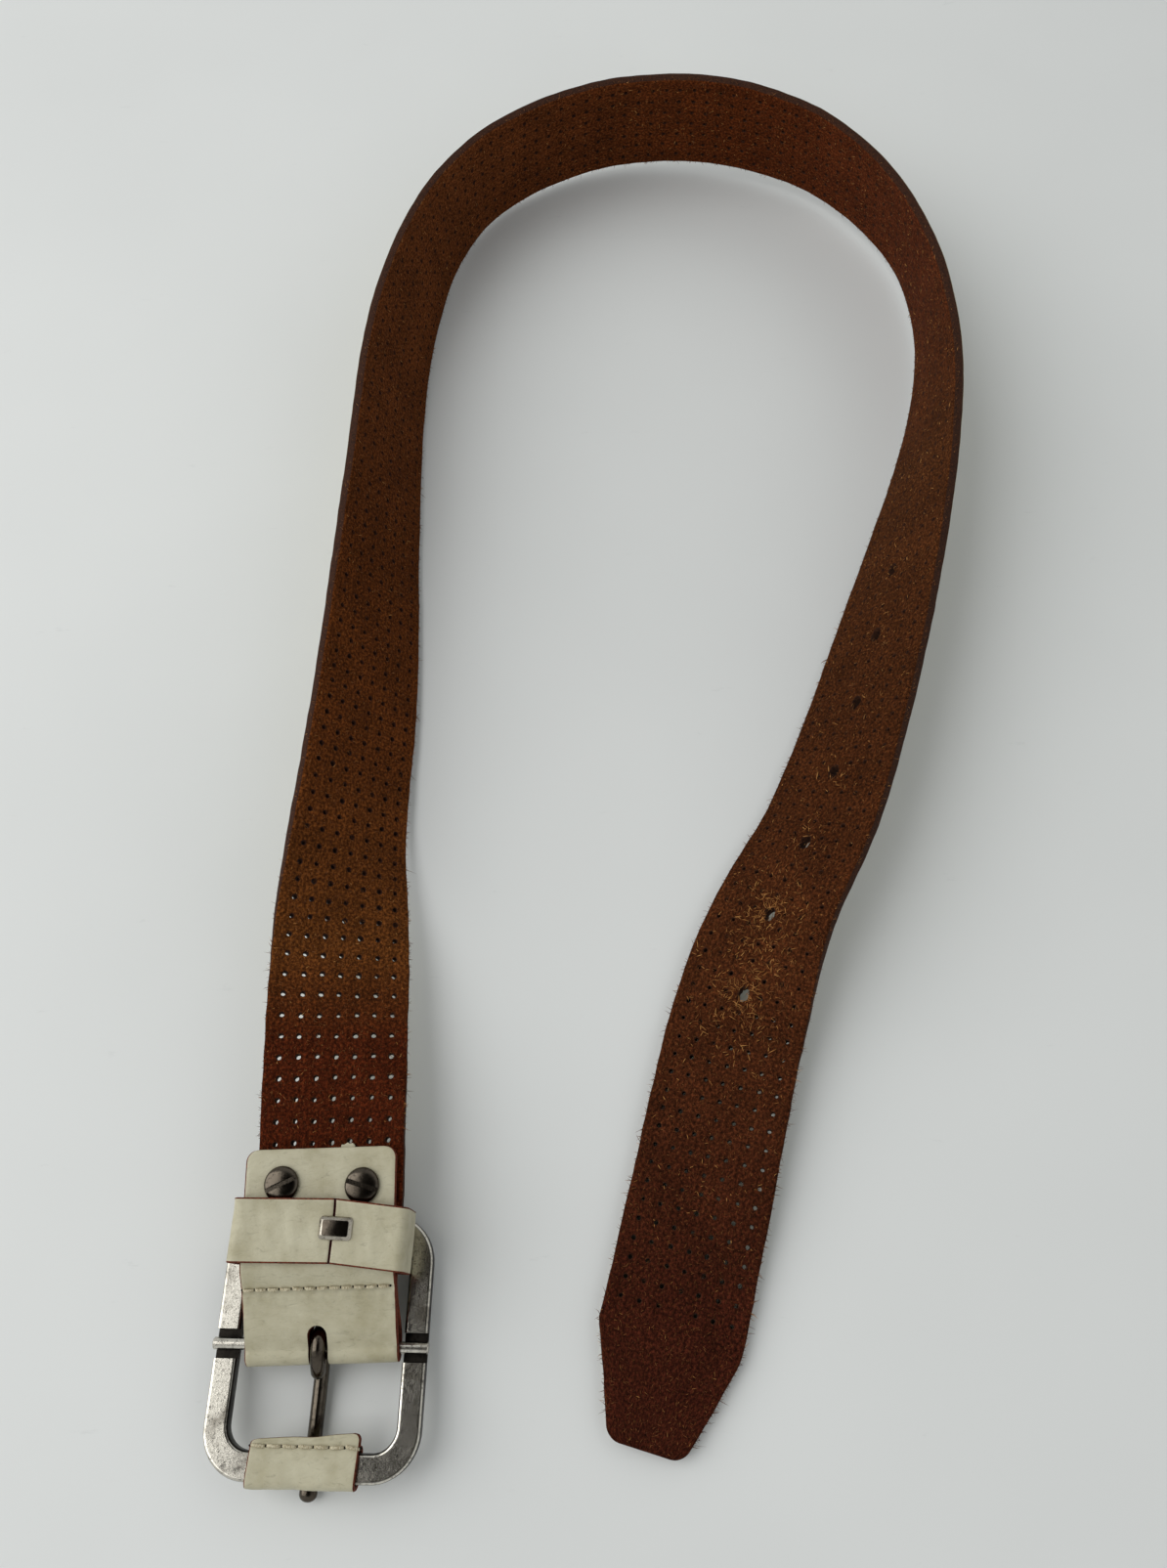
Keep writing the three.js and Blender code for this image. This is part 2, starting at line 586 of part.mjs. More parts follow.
// The wrap's outline: leather round the free end bar, with a doubled flap into the window.
function wrapProfile() {
  const outerV = [-FRAME_FORE - GAP - WRAP_THICK, -FRAME_FORE + FRAME_END + GAP + WRAP_THICK];
  const outerW = [FRAME_FRONT - GAP - WRAP_THICK, FRAME_BACK + GAP + WRAP_THICK];
  const corner = 2;
  const flapTop = outerW[1] - 0.4;
  const flapBottom = flapTop - 2 * WRAP_THICK;
  const shape = new THREE.Shape();
  shape.moveTo(outerV[0] + corner, outerW[0]);
  shape.lineTo(outerV[1] - corner, outerW[0]);
  shape.absarc(outerV[1] - corner, outerW[0] + corner, corner, 1.5 * Math.PI, 2 * Math.PI);
  shape.lineTo(outerV[1], flapBottom);
  shape.lineTo(outerV[1] + WRAP_FLAP, flapBottom);
  shape.lineTo(outerV[1] + WRAP_FLAP, flapTop);
  shape.lineTo(outerV[1], flapTop);
  shape.lineTo(outerV[1] - corner, outerW[1]);
  shape.lineTo(outerV[0] + corner, outerW[1]);
  shape.absarc(outerV[0] + corner, outerW[1] - corner, corner, 0.5 * Math.PI, Math.PI);
  shape.lineTo(outerV[0], outerW[0] + corner);
  shape.absarc(outerV[0] + corner, outerW[0] + corner, corner, Math.PI, 1.5 * Math.PI);
  const bore = roundedRectangle(FRAME_END + 2 * GAP, FRAME_THICK + 2 * GAP, 0.6);
  const hole = bore.getPoints(3).map((point) => new THREE.Vector2(
    point.x - FRAME_FORE + FRAME_END / 2, point.y + (FRAME_FRONT + FRAME_BACK) / 2));
  shape.holes.push(new THREE.Path(hole));
  return { shape, seamV: outerV[1] + 1, flapTop };
}

function makeWrap() {
  return profileAcross(wrapProfile().shape, WRAP_LENGTH, 4);
}

// ---------------------------------------------------------------- assembly

function piece(parent, name, geometry, material, place = [0, 0, 0]) {
  const mesh = new THREE.Mesh(geometry, material);
  mesh.name = name;
  mesh.position.set(...place);
  parent.add(mesh);
}

const belt = new THREE.Group();

piece(belt, 'strap', makeStrap(), suedeBack);
piece(belt, 'buckle_tab', makeTab(), leatherFront);
// The leather slopes under the thread, so the thread lies twice the usual clearance above it.
const tabThreadZ = TAB_SEAM_Z + TAB_SEAM_HALF + 0.6 * TAB_THICK + 2 * GAP;
piece(belt, 'tab_thread', makeThread(TAB_WIDTH - 2), threadMaterial, [TAB_X, TAB_SEAM_Y, tabThreadZ]);
screwPlaces().forEach(({ x, y }, i) => {
  const side = ['left', 'right'][i];
  piece(belt, `screw_${side}`, makeScrew(x, y, SCREW_TURNS[i]), darkNickel);
  piece(belt, `screw_post_${side}`, makePost(x, y), darkNickel);
});

const keeper = new THREE.Group();
keeper.position.set(KEEPER_X, KEEPER_Y, 0);
keeper.rotation.z = radians(KEEPER_SKEW);
piece(keeper, 'keeper_loop', makeKeeper(), leatherFront);
piece(keeper, 'keeper_staple', makeStaple(), nickel);
belt.add(keeper);

// The buckle's own frame: +X along the centre bar, +Y to the heel, +Z out of its back.
const bar = new THREE.Group();
bar.position.set(BUCKLE_X, BUCKLE_Y, BAR_Z);
bar.rotation.z = radians(BUCKLE_SKEW);
const buckle = new THREE.Group();
buckle.rotation.x = -radians(BUCKLE_TILT);
const wrap = wrapProfile();
piece(buckle, 'buckle_frame', makeFrame(), nickel);
piece(buckle, 'bar_wrap', makeWrap(), leatherFront, [WRAP_X, 0, 0]);
piece(buckle, 'wrap_thread', makeThread(WRAP_LENGTH - 2), threadMaterial,
  [WRAP_X, wrap.seamV, wrap.flapTop + GAP]);
piece(bar, 'centre_bar', makeCentreBar(), nickel);
piece(bar, 'prong', makeProng(), darkNickel);
bar.add(buckle);
belt.add(bar);

// The origin goes to the centre of the bounding box's bottom.
belt.updateMatrixWorld(true);
const bounds = new THREE.Box3().setFromObject(belt, true);
const centre = bounds.getCenter(new THREE.Vector3());
belt.position.set(-centre.x, -centre.y, -bounds.min.z);

export default belt;
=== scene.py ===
"""The looks of a perforated leather belt that lies unbuckled on a pale table, its raw back up."""

import math

import bmesh
import bpy
import numpy as np
from mathutils import Matrix, Vector


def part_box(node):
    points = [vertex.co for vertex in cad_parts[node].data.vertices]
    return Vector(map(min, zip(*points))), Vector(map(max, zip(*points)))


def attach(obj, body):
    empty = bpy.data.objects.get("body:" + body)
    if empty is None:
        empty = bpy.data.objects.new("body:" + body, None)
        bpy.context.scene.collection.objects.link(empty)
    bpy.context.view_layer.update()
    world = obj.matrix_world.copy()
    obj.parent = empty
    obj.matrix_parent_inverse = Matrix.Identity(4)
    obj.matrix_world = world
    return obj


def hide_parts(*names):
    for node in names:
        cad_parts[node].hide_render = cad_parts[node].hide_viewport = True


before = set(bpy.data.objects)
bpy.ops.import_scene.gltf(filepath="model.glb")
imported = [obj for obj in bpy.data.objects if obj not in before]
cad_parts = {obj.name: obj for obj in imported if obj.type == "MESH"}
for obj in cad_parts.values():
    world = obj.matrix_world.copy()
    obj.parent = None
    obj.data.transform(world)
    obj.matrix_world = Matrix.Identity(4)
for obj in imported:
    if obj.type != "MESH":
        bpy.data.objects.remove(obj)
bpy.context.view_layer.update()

# ------------------------------------------------------------------ sizes, in millimetres

MM = 0.001
SEED = 7

STRAP_WIDTH = 38.5
STRAP_THICK = 3.5
STRAP_RIM = 0.7                # rounding of the strap's edges
TIP_LENGTH = 26.5
TIP_END_WIDTH = 20
TIP_CORNER = 3

COLUMNS = 7                    # perforations across the strap
COLUMN_PITCH = 5.0
CELL_STEPS = 3                 # mesh steps along each side of a perforation's cell
PERFORATION_RADIUS = 0.70
HOLE_CHAMFER = 0.16
FIRST_ROW = 28.5
ROW_PITCH_START = 5.6          # rows are wider apart near the buckle
ROW_PITCH = 5.0
WIDE_UNTIL = 66                # where the wide pitch starts to close up, and where it has done so
EASED_AT = 84
LAST_ROW_FROM_TIP = 33.8
HOLE_FROM_TIP = 118.8
HOLE_PITCH = 23.8
HOLE_COUNT = 7
HOLE_RADII = (2.3, 1.6)        # adjusting hole, along and across the strap

TAB_X = -72
TAB_WIDTH = 39.5
TAB_THICK = 1.6
TAB_TOP = 22
TAB_CORNER = 3
TAB_BACK_Z = 19.4              # middle of the tab's back layer
TAB_FRONT_Z = 13.7
TAB_LAYER_END = -6.6
TAB_SEAM_Y = -12
TAB_SEAM_Z = 15.25
TAB_SEAM_HALF = 0.95
TAB_FOLD_RADIUS = 2.6
TAB_SLOT_WIDTH = 5
TAB_SLOT_ENDS = (-21.0, -17.8) # on the back and on the front
TAB_SLOT_SPLIT = 3.5

SCREW_X, SCREW_Y = -71.5, 12.8
SCREW_SPACING = 21
SCREW_SKEW = -2.6
SCREW_RADIUS = 4.5
SCREW_BASE_Z = 20.5
SCREW_DOME = 1.5
SCREW_SLOT = (1.2, 0.8)        # width and depth
SCREW_TURNS = (23, -18)

KEEPER_X, KEEPER_Y = -71, -0.3
KEEPER_SKEW = -5
KEEPER_BAND = 15.7
KEEPER_WALL = 1.7
KEEPER_HALF_WIDTH = 22
KEEPER_FLOOR, KEEPER_CEILING = 8.6, 20.5
KEEPER_CORNER = 2.4
KEEPER_SEAM_X = 3.1
KEEPER_SEAM_SKEW = -5
STAPLE_X, STAPLE_Y = 3.9, 1.2
STAPLE_SIZE = (8.5, 5.7, 1.0)

BUCKLE_X, BUCKLE_Y = -72.8, -26.2
BUCKLE_SKEW = -3
BUCKLE_TILT = 5.5
FRAME_WIDTH = 55
FRAME_RAIL = 6.1
FRAME_END = 6.8
FRAME_FORE, FRAME_AFT = 30.9, 32.3
FRAME_CORNER, WINDOW_CORNER = 12, 6
FRAME_BACK, FRAME_FRONT = 0.7, -3.8
FRAME_RIM = 0.7
NOTCH_LENGTH = 7
BAR_RADIUS = 1.5
BAR_LENGTH = 56
PRONG_RADIUS = 1.9
PRONG_REACH = 36.3
PRONG_DROP_Y = 19
PRONG_TAIL_Y = 6.6

WRAP_X = -0.8
WRAP_LENGTH = 28.5
WRAP_THICK = 1.2
WRAP_EDGE_V = -19.4            # raw edge of its stitched flap
WRAP_SEAM_V = -22.8
WRAP_STITCH = 3.95
WRAP_CORNER = 1.8

TAB_BULGE_AT = 10.5            # the slack leather below the seam stands proud here
TAB_BULGE_HALF = 4.5
STRIP_END = 0.25               # first and last step along a cut strip of leather
STITCH = 3.15
THREAD_RADIUS = 0.44
THREAD_SIDES = 8
THREAD_STEPS = 9
THREAD_ARCH = 0.46             # height of a stitch's middle over its sunk ends
THREAD_SINK = 0.08
THREAD_TILT = 5.0              # spread of the stitches' slant, in degrees
NEEDLE_HOLE_SIDES = 10
CUT_CLEAR = 50                 # slot cutters run this far past what they cut

NAP_COUNT = 15000
FUZZ_COUNT = 5000
SCATTERED_COUNT = 600          # torn fibres away from the adjusting holes
# How many torn fibres each adjusting hole has, from the tip inwards, and how far they spread.
TORN_FIBRES = [(430, 1.35), (300, 1.15), (30, 0.7), (20, 0.7), (20, 0.7), (12, 0.6), (12, 0.6)]
FIBRE_FLOOR = 0.03             # a fibre that reaches the floor lies on it

TABLE_HALF = 6.0               # metres, like all the studio's places and sizes
TABLE_Z = -0.0002
CAMERA_HEIGHT = 341.9          # millimetres over the table, above the layout's origin
CAMERA_TILT = 20.75
CAMERA_ROLL = -1.903
CAMERA_SENSOR = 36
CAMERA_LENS = 26.933
KEY_PLACE, KEY_TARGET = (-1.44, 0.12, 1.25), (-0.15, -0.02, 0)
KEY_SIZE = (1.7, 2.2)
KEY_POWER = 26
KEY_COLOUR = (1.0, 0.997, 0.985)
ROOM_COLOUR = (0.67, 0.683, 0.679)
SHADE_COLOUR = (0.03, 0.028, 0.026)
SHADE_TOWARDS = (0.04, -0.02, 1)
SHADE_EDGE = (0.74, 0.97)      # cosines where the dark patch overhead starts and is full

# Where the middle of the strap runs: x, y, height of its lowest edge, and lean in degrees.
ROUTE = np.array([
    [-70, -5, 14.8, 0],
    [-70, 8, 14.8, 0],
    [-70, 20, 14.8, 0],
    [-70, 25, 14.8, 0],
    [-70, 69, 8.6, 18],
    [-69, 110, 1.6, 44],
    [-65, 159, 0, 52],
    [-62, 224, 0, 65],
    [-59, 277, 0, 71],
    [-53, 310, 0.2, 77],
    [-43, 338, 0.7, 85],
    [-27, 360, 1.4, 92],
    [-3, 375, 2.3, 95],
    [24, 382, 3.4, 97],
    [58, 379, 4.6, 98],
    [89, 364, 5, 100],
    [109, 342, 4.8, 101],
    [120, 318, 4.2, 100],
    [124, 287, 3.2, 92],
    [119, 248, 1.6, 78],
    [98, 182, 0.3, 57],
    [72, 116, 0, 42],
    [52, 81, 0, 31],
    [41, 52, 0, 14],
    [28, 7, 0, 5],
    [18.4, -26, 0, 0],
    [14.2, -40, 0, 0],
    [9.95, -53.35, 0, 0],
], float)
MARKS = np.concatenate([[0], np.cumsum(np.hypot(*np.diff(ROUTE[:, :2], axis=0).T))])
STRAP_LENGTH = MARKS[-1]

# The CAD frame's origin, found from the centre bar.
bar_low, bar_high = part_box("centre_bar")
BAR_CENTRE = (bar_low + bar_high) / 2 / MM
SHIFT = np.array([BAR_CENTRE.x - BUCKLE_X, BAR_CENTRE.y - BUCKLE_Y, 0])
BAR_Z = BAR_CENTRE.z

# ------------------------------------------------------------------ node helpers


class Nodes:
    """Builds one material's node tree."""

    def __init__(self, name):
        self.material = bpy.data.materials.new(name)
        self.material.use_nodes = True
        self.tree = self.material.node_tree
        self.shader = self.tree.nodes["Principled BSDF"]

    def add(self, kind, **settings):
        node = self.tree.nodes.new(kind)
        for key, value in settings.items():
            setattr(node, key, value)
        return node

    def join(self, source, target):
        self.tree.links.new(source, target)

    def set(self, **values):
        for key, value in values.items():
            self.shader.inputs[key.replace("_", " ")].default_value = value

    def place(self):
        """Position on the piece itself, in metres."""
        return self.add("ShaderNodeTexCoord").outputs["Object"]

    def uv(self):
        return self.add("ShaderNodeTexCoord").outputs["UV"]

    def stretched(self, vector, scale):
        node = self.add("ShaderNodeMapping")
        node.inputs["Scale"].default_value = scale
        self.join(vector, node.inputs["Vector"])
        return node.outputs["Vector"]

    def noise(self, vector, scale, detail=3.0, roughness=0.55, distortion=0.0):
        node = self.add("ShaderNodeTexNoise")
        node.inputs["Scale"].default_value = scale
        node.inputs["Detail"].default_value = detail
        node.inputs["Roughness"].default_value = roughness
        node.inputs["Distortion"].default_value = distortion
        self.join(vector, node.inputs["Vector"])
        return node.outputs["Fac"]

    def cells(self, vector, scale):
        node = self.add("ShaderNodeTexVoronoi")
        node.inputs["Scale"].default_value = scale
        self.join(vector, node.inputs["Vector"])
        return node.outputs["Distance"]

    def ramp(self, factor, stops):
        """stops: (position, colour or grey) in order."""
        node = self.add("ShaderNodeValToRGB")
        elements = node.color_ramp.elements
        while len(elements) < len(stops):
            elements.new(0.5)
        for element, (position, colour) in zip(elements, stops):
            element.position = position
            grey = not hasattr(colour, "__len__")
            element.color = (colour, colour, colour, 1) if grey else (*colour, 1)
        self.join(factor, node.inputs["Fac"])
        return node.outputs["Color"]

    def mix(self, factor, first, second, blend="MIX"):
        node = self.add("ShaderNodeMix", data_type="RGBA", blend_type=blend)
        for value, socket in ((factor, node.inputs[0]), (first, node.inputs[6]), (second, node.inputs[7])):
            if isinstance(value, bpy.types.NodeSocket):
                self.join(value, socket)
            elif hasattr(value, "__len__"):
                socket.default_value = (*value, 1)
            else:
                socket.default_value = value
        return node.outputs[2]

    def math(self, operation, first, second=0.0):
        node = self.add("ShaderNodeMath", operation=operation)
        for value, socket in ((first, node.inputs[0]), (second, node.inputs[1])):
            if isinstance(value, bpy.types.NodeSocket):
                self.join(value, socket)
            else:
                socket.default_value = value
        return node.outputs[0]

    def bump(self, height, strength, distance, normal=None):
        node = self.add("ShaderNodeBump")
        node.inputs["Strength"].default_value = strength
        node.inputs["Distance"].default_value = distance
        self.join(height, node.inputs["Height"])
        if normal is not None:
            self.join(normal, node.inputs["Normal"])
        return node.outputs["Normal"]

    def finish(self, colour=None, roughness=None, normal=None):
        for source, name in ((colour, "Base Color"), (roughness, "Roughness"), (normal, "Normal")):
            if source is not None:
                self.join(source, self.shader.inputs[name])
        return self.material


def linear(red, green, blue):
    """An sRGB colour, 0 to 255, as linear values."""
    def channel(value):
        value /= 255
        return value / 12.92 if value <= 0.04045 else ((value + 0.055) / 1.055) ** 2.4
    return channel(red), channel(green), channel(blue)


# ------------------------------------------------------------------ materials


def suede_material():
    """Raw brown back of the strap. Its UV runs along the strap in u and across it in v, in metres."""
    n = Nodes("suede_back")
    uv = n.uv()
    along = n.add("ShaderNodeSeparateXYZ")
    n.join(uv, along.inputs[0])
    share = n.math("DIVIDE", along.outputs["X"], STRAP_LENGTH * MM)
    zones = n.ramp(share, [
        (0.00, linear(71, 27, 11)),
        (0.058, linear(73, 30, 12)),
        (0.085, linear(98, 56, 23)),
        (0.15, linear(93, 49, 19)),
        (0.22, linear(84, 43, 15)),
        (0.38, linear(96, 52, 24)),
        (0.50, linear(84, 38, 13)),
        (0.60, linear(78, 36, 17)),
        (0.68, linear(72, 39, 17)),
        (0.80, linear(67, 34, 14)),
        (0.87, linear(74, 38, 18)),
        (0.91, linear(69, 34, 17)),
        (0.96, linear(61, 26, 15)),
        (1.00, linear(63, 27, 16)),
    ])
    clouds = n.noise(uv, 70, 4, 0.6)
    tone = n.ramp(clouds, [(0.3, 0.72), (0.55, 1.0), (0.75, 1.25)])
    colour = n.mix(1.0, zones, tone, "MULTIPLY")
    grain = n.noise(uv, 1150, 4, 0.75)
    grain_tone = n.ramp(grain, [(0.34, 0.25), (0.5, 0.9), (0.64, 2.3)])
    colour = n.mix(1.0, colour, grain_tone, "MULTIPLY")
    flecks = n.noise(n.stretched(uv, (1, 2.2, 1)), 900, 3, 0.6)
    fleck_mask = n.ramp(flecks, [(0.60, 0.0), (0.70, 0.45)])
    colour = n.mix(fleck_mask, colour, linear(138, 88, 46))
    height = n.math("ADD", grain, n.math("MULTIPLY", n.noise(uv, 2600, 2, 0.6), 0.5))
    normal = n.bump(height, 1.0, 0.0006)
    n.set(Roughness=1.0, Specular_IOR_Level=0.06)
    return n.finish(colour, None, normal)


def cream_material():
    """Smooth cream leather, softly creased, with pores and faint yellow patches."""
    n = Nodes("cream_leather")
    place = n.place()
    patches = n.noise(place, 90, 4, 0.6)
    colour = n.ramp(patches, [
        (0.32, linear(165, 158, 129)),
        (0.50, linear(181, 175, 149)),
        (0.70, linear(192, 187, 162)),
    ])
    creases = n.noise(n.stretched(place, (1, 2.6, 2.6)), 330, 5, 0.65, 1.2)
    # The creases are darkened in colour where their bump is low: painted shade in the grooves.
    crease_shade = n.ramp(creases, [(0.30, 0.80), (0.42, 1.0), (0.80, 1.03)])
    colour = n.mix(1.0, colour, crease_shade, "MULTIPLY")
    scuffs = n.noise(place, 700, 3, 0.7)
    colour = n.mix(n.ramp(scuffs, [(0.64, 0.0), (0.76, 0.35)]), colour, linear(132, 116, 92))
    pores = n.cells(place, 2600)
    normal = n.bump(pores, 0.18, 0.0001)
    normal = n.bump(creases, 0.45, 0.0004, normal)
    roughness = n.ramp(n.noise(place, 240, 3), [(0.3, 0.42), (0.7, 0.62)])
    n.set(Specular_IOR_Level=0.45)
    return n.finish(colour, roughness, normal)


def raw_edge_material(name, colour, light):
    """Cut or dyed edge of leather, fibrous and matt."""
    n = Nodes(name)
    place = n.place()
    fibres = n.noise(place, 1500, 4, 0.7)
    tone = n.ramp(fibres, [(0.35, colour), (0.72, light)])
    n.set(Roughness=0.9, Specular_IOR_Level=0.2)
    return n.finish(tone, None, n.bump(fibres, 0.6, 0.0003))


def nickel_material(name, bright, dull, pit, roughness):
    """Antiqued nickel: worn bright, clouded, pitted and speckled dark. Colours are sRGB, 0 to 255."""
    n = Nodes(name)
    bright, dull, pit = linear(*bright), linear(*dull), linear(*pit)
    place = n.place()
    clouds = n.noise(place, 110, 5, 0.65, 0.4)
    colour = n.ramp(clouds, [(0.34, dull), (0.50, bright), (0.75, bright)])
    speckle = n.noise(place, 1300, 4, 0.75)
    colour = n.mix(n.ramp(speckle, [(0.56, 0.0), (0.66, 0.85)]), colour, pit)
    patches = n.noise(place, 420, 4, 0.7)
    colour = n.mix(n.ramp(patches, [(0.58, 0.0), (0.72, 0.7)]), colour, pit)
    scratches = n.noise(n.stretched(place, (9, 1, 3)), 700, 3, 0.6)
    low, high = roughness
    gloss = n.ramp(n.mix(0.5, clouds, scratches), [(0.35, high), (0.65, low)])
    normal = n.bump(speckle, 0.16, 0.00012)
    normal = n.bump(scratches, 0.06, 0.0001, normal)
    n.set(Metallic=1.0)
    return n.finish(colour, gloss, normal)


def thread_material():
    n = Nodes("thread")
    place = n.place()
    twist = n.noise(n.stretched(place, (3, 1, 1)), 1600, 2, 0.5)
    colour = n.ramp(twist, [(0.35, linear(150, 138, 110)), (0.65, linear(206, 198, 172))])
    n.set(Roughness=0.85, Specular_IOR_Level=0.25)
    return n.finish(colour, None, n.bump(twist, 0.5, 0.0002))


def fibre_material(name, colour, light):
    n = Nodes(name)
    tone = n.ramp(n.noise(n.place(), 400, 2), [(0.35, colour), (0.65, light)])
    n.set(Roughness=0.9, Specular_IOR_Level=0.2)
    return n.finish(tone)


def floor_material():
    """Pale table top with very faint grey scuffs."""
    n = Nodes("table_top")
    place = n.place()
    clouds = n.ramp(n.noise(place, 5, 3), [(0.3, linear(219, 221, 220)), (0.7, linear(225, 227, 226))])
    scuffs = n.noise(n.stretched(place, (1, 3.5, 1)), 45, 5, 0.7)
    colour = n.mix(n.ramp(scuffs, [(0.66, 0.0), (0.78, 0.25)]), clouds, linear(176, 178, 178))
    n.set(Roughness=0.55, Specular_IOR_Level=0.3)
    return n.finish(colour)


SUEDE = suede_material()
CREAM = cream_material()
DYED_EDGE = raw_edge_material("dyed_edge", linear(34, 17, 9), linear(72, 40, 22))
RAW_EDGE = raw_edge_material("raw_edge", linear(62, 22, 14), linear(130, 66, 44))
RAW_INSIDE = raw_edge_material("raw_inside", linear(58, 30, 17), linear(98, 58, 34))
SEAM_PAINT = raw_edge_material("seam_paint", linear(40, 6, 9), linear(72, 14, 17))
NICKEL = nickel_material("antique_nickel", (204, 200, 189), (142, 137, 127), (40, 36, 31), (0.14, 0.26))
DARK_NICKEL = nickel_material("dark_nickel", (84, 77, 68), (52, 46, 40), (16, 14, 12), (0.10, 0.24))
# A darker copy of the nickel: painted shade for the frame's walls and notch cuts.
SHADE_NICKEL = nickel_material("painted_shade_nickel", (44, 41, 37), (26, 24, 22), (12, 11, 10), (0.28, 0.5))
STAPLE_METAL = nickel_material("staple_metal", (176, 169, 156), (112, 105, 95), (36, 32, 28), (0.12, 0.26))
THREAD = thread_material()
# Painted shade for the inside of the needle holes.
NEEDLE_HOLE_SHADE = raw_edge_material("needle_hole_shade", linear(12, 8, 6), linear(26, 16, 11))
FIBRE_BROWN = fibre_material("fibre_brown", linear(74, 38, 18), linear(104, 58, 28))
FIBRE_TAN = fibre_material("fibre_tan", linear(112, 68, 34), linear(150, 98, 54))
FIBRE_STRAW = fibre_material("fibre_straw", linear(166, 108, 54), linear(206, 150, 86))
FIBRES = [FIBRE_BROWN, FIBRE_TAN, FIBRE_STRAW]

# ------------------------------------------------------------------ geometry helpers


def wobble(a, b, seed):
    """Smooth irregularity between about -1 and 1, from a few sine waves."""
    rng = np.random.default_rng(SEED + seed)
    total = np.zeros(np.broadcast(a, b).shape)
    for octave in range(4):
        fa, fb = rng.uniform(0.5, 1.3, 2) * 1.7 ** octave
        phase = rng.uniform(0, 2 * math.pi)
        total = total + np.sin(fa * a + fb * b * rng.choice([-1, 1]) + phase) / 1.5 ** octave
    return total / 2.2


def to_row(points):
    """Layout millimetres to the row frame's metres."""
    return (np.asarray(points, float) + SHIFT) * MM


def turned(points, x_degrees=0.0, z_degrees=0.0, offset=(0, 0, 0)):
    """Turned about X and then about Z, in degrees, and moved by the offset."""
    about_x = Matrix.Rotation(math.radians(x_degrees), 3, "X")
    about_z = Matrix.Rotation(math.radians(z_degrees), 3, "Z")
    return np.asarray(points, float) @ np.array(about_z @ about_x).T + np.array(offset, float)


def bar_place(points):
    """From the centre bar's frame, which the prong turns in."""
    return to_row(turned(points, 0, BUCKLE_SKEW, (BUCKLE_X, BUCKLE_Y, BAR_Z)))


def buckle_place(points):
    return to_row(turned(points, -BUCKLE_TILT, BUCKLE_SKEW, (BUCKLE_X, BUCKLE_Y, BAR_Z)))


def keeper_place(points):
    return to_row(turned(points, 0, KEEPER_SKEW, (KEEPER_X, KEEPER_Y, 0)))


def tab_place(points):
    return to_row(np.asarray(points, float) + np.array([TAB_X, 0, 0]))


def make_object(name, points, faces, materials, indices=None, uvs=None, smooth=True):
    mesh = bpy.data.meshes.new(name)
    mesh.from_pydata([tuple(p) for p in points], [], faces)
    for material in materials:
        mesh.materials.append(material)
    if indices is not None:
        mesh.polygons.foreach_set("material_index", np.asarray(indices, np.int32))
    if uvs is not None:
        layer = mesh.uv_layers.new(name="leather")
        loops = np.zeros(len(mesh.loops), np.int32)
        mesh.loops.foreach_get("vertex_index", loops)
        layer.data.foreach_set("uv", np.asarray(uvs, np.float32)[loops].ravel())
    mesh.polygons.foreach_set("use_smooth", np.full(len(mesh.polygons), smooth))
    piece = bpy.data.objects.new(name, mesh)
    bpy.context.scene.collection.objects.link(piece)
    tidy_mesh(mesh)
    return piece


def tidy_mesh(mesh):
    """Drops unused points and turns every face outwards."""
    work = bmesh.new()
    work.from_mesh(mesh)
    loose = [v for v in work.verts if not v.link_faces]
    bmesh.ops.delete(work, geom=loose, context="VERTS")
    bmesh.ops.recalc_face_normals(work, faces=work.faces)
    work.to_mesh(mesh)
    work.free()
    mesh.update()


def sharpen(piece, degrees):
    piece.data.set_sharp_from_angle(angle=math.radians(degrees))


def cut_away(piece, cutters):
    """Takes the cutters out of the piece and removes them."""
    for cutter in cutters:
        change = piece.modifiers.new("cut", "BOOLEAN")
        change.object = cutter
        change.operation = "DIFFERENCE"
        change.solver = "EXACT"
    graph = bpy.context.evaluated_depsgraph_get()
    result = bpy.data.meshes.new_from_object(piece.evaluated_get(graph))
    old = piece.data
    piece.modifiers.clear()
    piece.data = result
    bpy.data.meshes.remove(old)
    for cutter in cutters:
        bpy.data.objects.remove(cutter)


def tube_faces(rings, count, start=0):
    """The sides and the two end caps of a tube of rings, each of count points, the first at start."""
    faces = []
    for i in range(rings - 1):
        low, high = start + i * count, start + (i + 1) * count
        faces += [(low + k, low + (k + 1) % count, high + (k + 1) % count, high + k) for k in range(count)]
    last = start + (rings - 1) * count
    return faces + [tuple(range(start, start + count)), tuple(range(last, last + count))]


def round_points(radius_x, radius_y, count, height):
    angles = [2 * math.pi * k / count for k in range(count)]
    return [(radius_x * math.cos(a), radius_y * math.sin(a), height) for a in angles]


def prism(outline, low, high, place, materials, index):
    """A closed prism over a flat outline, from height low to height high."""
    count = len(outline)
    points = [(x, y, z) for z in (low, high) for x, y in outline]
    sides = [(i, (i + 1) % count, count + (i + 1) % count, count + i) for i in range(count)]
    faces = [tuple(reversed(range(count))), tuple(range(count, 2 * count)), *sides]
    return make_object("cutter", place(points), faces, materials, [index] * len(faces), smooth=False)


